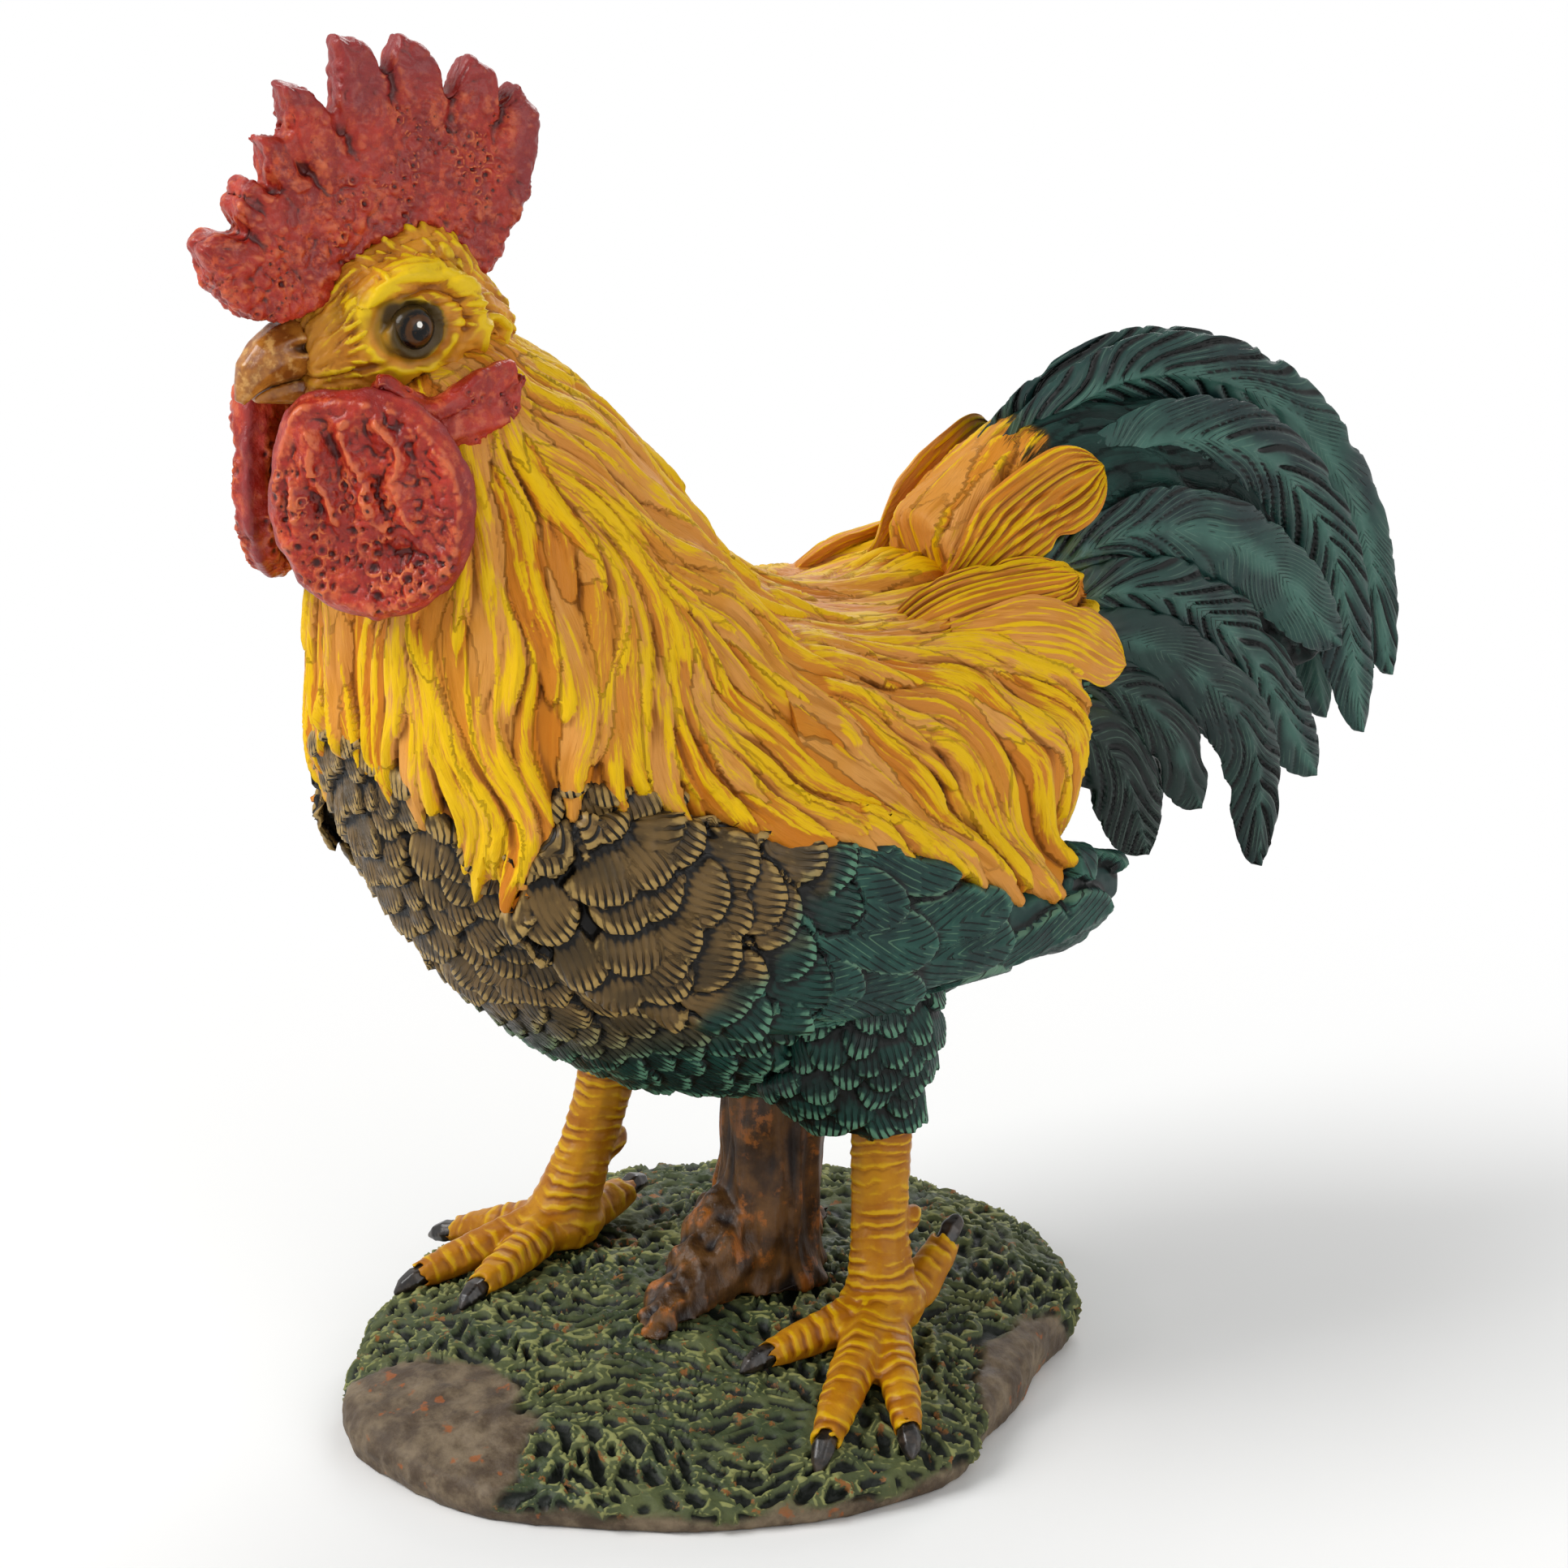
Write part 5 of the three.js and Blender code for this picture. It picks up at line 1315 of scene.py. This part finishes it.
def groundPaint():
    p = Paint("mossGround", 0.6, 0.25)
    relief, cloud = p.layer("relief"), p.speckle(18, 4, 0.6)
    p.start(p.speckle(9, 5, 0.65), 0.35, 0.7, 0x4A3C2E, 0x80705A)
    p.coat(p.speckle(6, 3), 0.64, 0.7, 0.7, 0x9A5424)
    stone = p.colour
    p.start(cloud, 0.35, 0.65, 0x38432A, 0x565C38)
    crest = p.plus(p.fit(relief, 0.05, 0.35, 0, 0.5), p.times(p.speckle(3, 3), 0.5))
    p.coat(crest, 0.42, 0.8, 0.85, 0x92945A)
    p.coat(relief, -0.05, -0.5, 1, 0x0C120A)
    p.over(p.both((p.speckle(5, 4, 0.7), 0.6, 0.66), (relief, -0.9, -0.1)), 0x86582C)
    p.over(p.layer("rock"), stone)
    return p.finish(p.speckle(1.6, 4), 0.3, (cloud, 0.5, 0.7))


def makeGround():
    obj, points, normals = cast("mossyGround", ["ground_base"], "ground")
    z = points[:, 2]
    seeds = scatter(points[z > 1][::3], ground["cell"], 101)
    swirl = noiseAt(seeds, 34, 4) * 3.4 + 0.6
    sizes = np.random.default_rng(102).uniform(0.8, 1.25, len(seeds))
    tree = treeOf(seeds)
    ridge = np.zeros(len(points))
    for row, point in enumerate(points):          # long cells: how near their borders a point lies
        dists = []
        for _, index, _ in tree.find_n(Vector(point), 6):
            rel = point - seeds[index]
            along, across = math.cos(swirl[index]), math.sin(swirl[index])
            u, v = rel[0] * along + rel[1] * across, -rel[0] * across + rel[1] * along
            dists.append(math.sqrt((u * 0.5) ** 2 + (v * 1.75) ** 2 + rel[2] ** 2) * sizes[index])
        dists.sort()
        ridge[row] = dists[1] - dists[0]
    holed = smooth(noiseAt(points, 13, 3), -1.1, -0.5)
    ridge = ridge + noiseAt(points, 4, 3) * 0.6
    hole = smooth(ridge, 1.3, 2.9) * holed
    rim = bump(ridge - 1.1, 0.55) * holed
    rock = smooth(z + noiseAt(points, 9, 6) * 3, 5.5, 2.5)
    for spot, size in ground["rocks"]:
        away = np.linalg.norm((points - spot) * (1, 1, 1.2), axis=1)
        rock = np.maximum(rock, smooth(away + noiseAt(points, 12, 2) * 7, size, size - 3))
    flat = smooth(z, 0.4, 3)
    deep = 0.85 + noiseAt(points, 16, 11) * 0.7
    relief = (0.45 * rim - hole) * deep * (1 - rock) * flat
    soil = (noiseAt(points, 12, 1) * 1.4 + noiseAt(points, 5, 12) * 0.5) * (1 - rock) * flat
    stone = (noiseAt(points, 5, 7) * 0.7 + noiseAt(points, 2.5, 5) * 0.3 - 0.5) * rock * flat
    pushOut(obj, points, normals, relief * ground["depth"] + soil + stone)
    setLayers(obj, relief=relief, rock=rock)
    finishPiece(obj, groundPaint(), ["ground_base"])


def makeStump():
    obj, points, normals = cast("treeStump", ["tree_stump"], "stump")
    grain = noiseAt(points * (1, 1, 0.14), 2.4, 3) - np.abs(noiseAt(points * (1, 1, 0.1), 5, 12)) * 2.4 + 0.5
    broad = noiseAt(points * (1, 1, 0.3), 7, 5)
    ribs = np.sin(np.arctan2(points[:, 1], points[:, 0]) * 9 + broad * 4) * 0.3
    push = grain * 0.9 + broad * 1.6 + ribs
    pushOut(obj, points, normals, push)
    setLayers(obj, relief=push)
    p = Paint("stumpBark", 0.42, 0.3)
    relief = p.layer("relief")
    p.start(p.speckle(8, 4, 0.6), 0.35, 0.68, 0x38230F, 0x684622)
    p.over(p.both((p.speckle(10, 5, 0.7), 0.5, 0.6), (relief, -0.3, 0.5)), 0x9C5C22)
    p.coat(relief, -0.3, -1.3, 1, 0x1E1512)
    finishPiece(obj, p.finish(p.speckle(1.6, 4, 0.6, (1, 1, 0.3)), 0.4), ["tree_stump"])


# Studio: pale floor, soft lamps, white behind

def seenDirectly(tree):           # 1 where the camera or a mirror looks at it, 0 for its light
    rays = node(tree, "LightPath").outputs
    seen = calc(tree, "MAXIMUM", rays["Is Camera Ray"], rays["Is Glossy Ray"])
    return calc(tree, "MAXIMUM", seen, rays["Is Transmission Ray"])


def makeFloor():
    clearSelection()
    bpy.ops.mesh.primitive_plane_add(size=6, location=(0, 0, 0))
    floor = bpy.context.object
    floor.name = "studioFloor"
    p = Paint("floorPaper", 0.9, 0.1)
    p.shader.inputs["Base Color"].default_value = linear(studio["floor"])
    coords = node(p.tree, "TexCoord").outputs["Object"]
    away = node(p.tree, "VectorMath", {0: coords}, operation="LENGTH").outputs["Value"]
    share = p.times(seenDirectly(p.tree), p.fit(away, *studio["fade"]))
    glow = node(p.tree, "Emission", {"Color": (1, 1, 1, 1), "Strength": 1.0})
    mixed = node(p.tree, "MixShader", {0: share, 1: p.shader.outputs[0], 2: glow.outputs[0]})
    p.tree.links.new(mixed.outputs[0], p.output.inputs[0])
    floor.data.materials.append(p.material)


def makeLight():
    world = bpy.data.worlds.new("studioWorld")
    world.use_nodes = True
    bpy.context.scene.world = world
    tree = world.node_tree
    tree.nodes.clear()
    lit = calc(tree, "MULTIPLY", seenDirectly(tree), 1 - studio["world"])
    strength = calc(tree, "ADD", lit, studio["world"])
    back = node(tree, "Background", {"Color": (1, 1, 1, 1), "Strength": strength})
    node(tree, "OutputWorld", {0: back.outputs[0]})
    aim = Vector((0, 0, 0.17))
    for name, (place, size, power) in studio["lamps"].items():
        lamp = bpy.data.lights.new(name + "Lamp", "AREA")
        lamp.size = size
        lamp.energy = power
        obj = newObject(name + "Lamp", lamp)
        obj.location = place
        obj.rotation_euler = (aim - Vector(place)).to_track_quat("-Z", "Y").to_euler()
    bpy.context.scene.view_settings.view_transform = "Standard"


makeCamera()
print("camera placed")
hackle = makeTrunk()
green = barbPaint("greenFeather")
for side in hands:
    makeWing(side, green)
    makeThigh(side, green)
makeTailCore()
print("body feathers done")
makeTail(hackle)
print("tail done")
makeHead()
makeBeak()
flesh = fleshPaint()
makeComb(flesh)
for side, hand in hands.items():
    makeEye(side, hand)
    makeWattle(side, hand, flesh)
    makeEarlobe(side, flesh)
print("head done")
shank = legPaint()
for side in hands:
    makeLeg(side, shank)
makeClaws()
makeRods()
makeGround()
makeStump()
makeFloor()
makeLight()
print("ground and studio done")
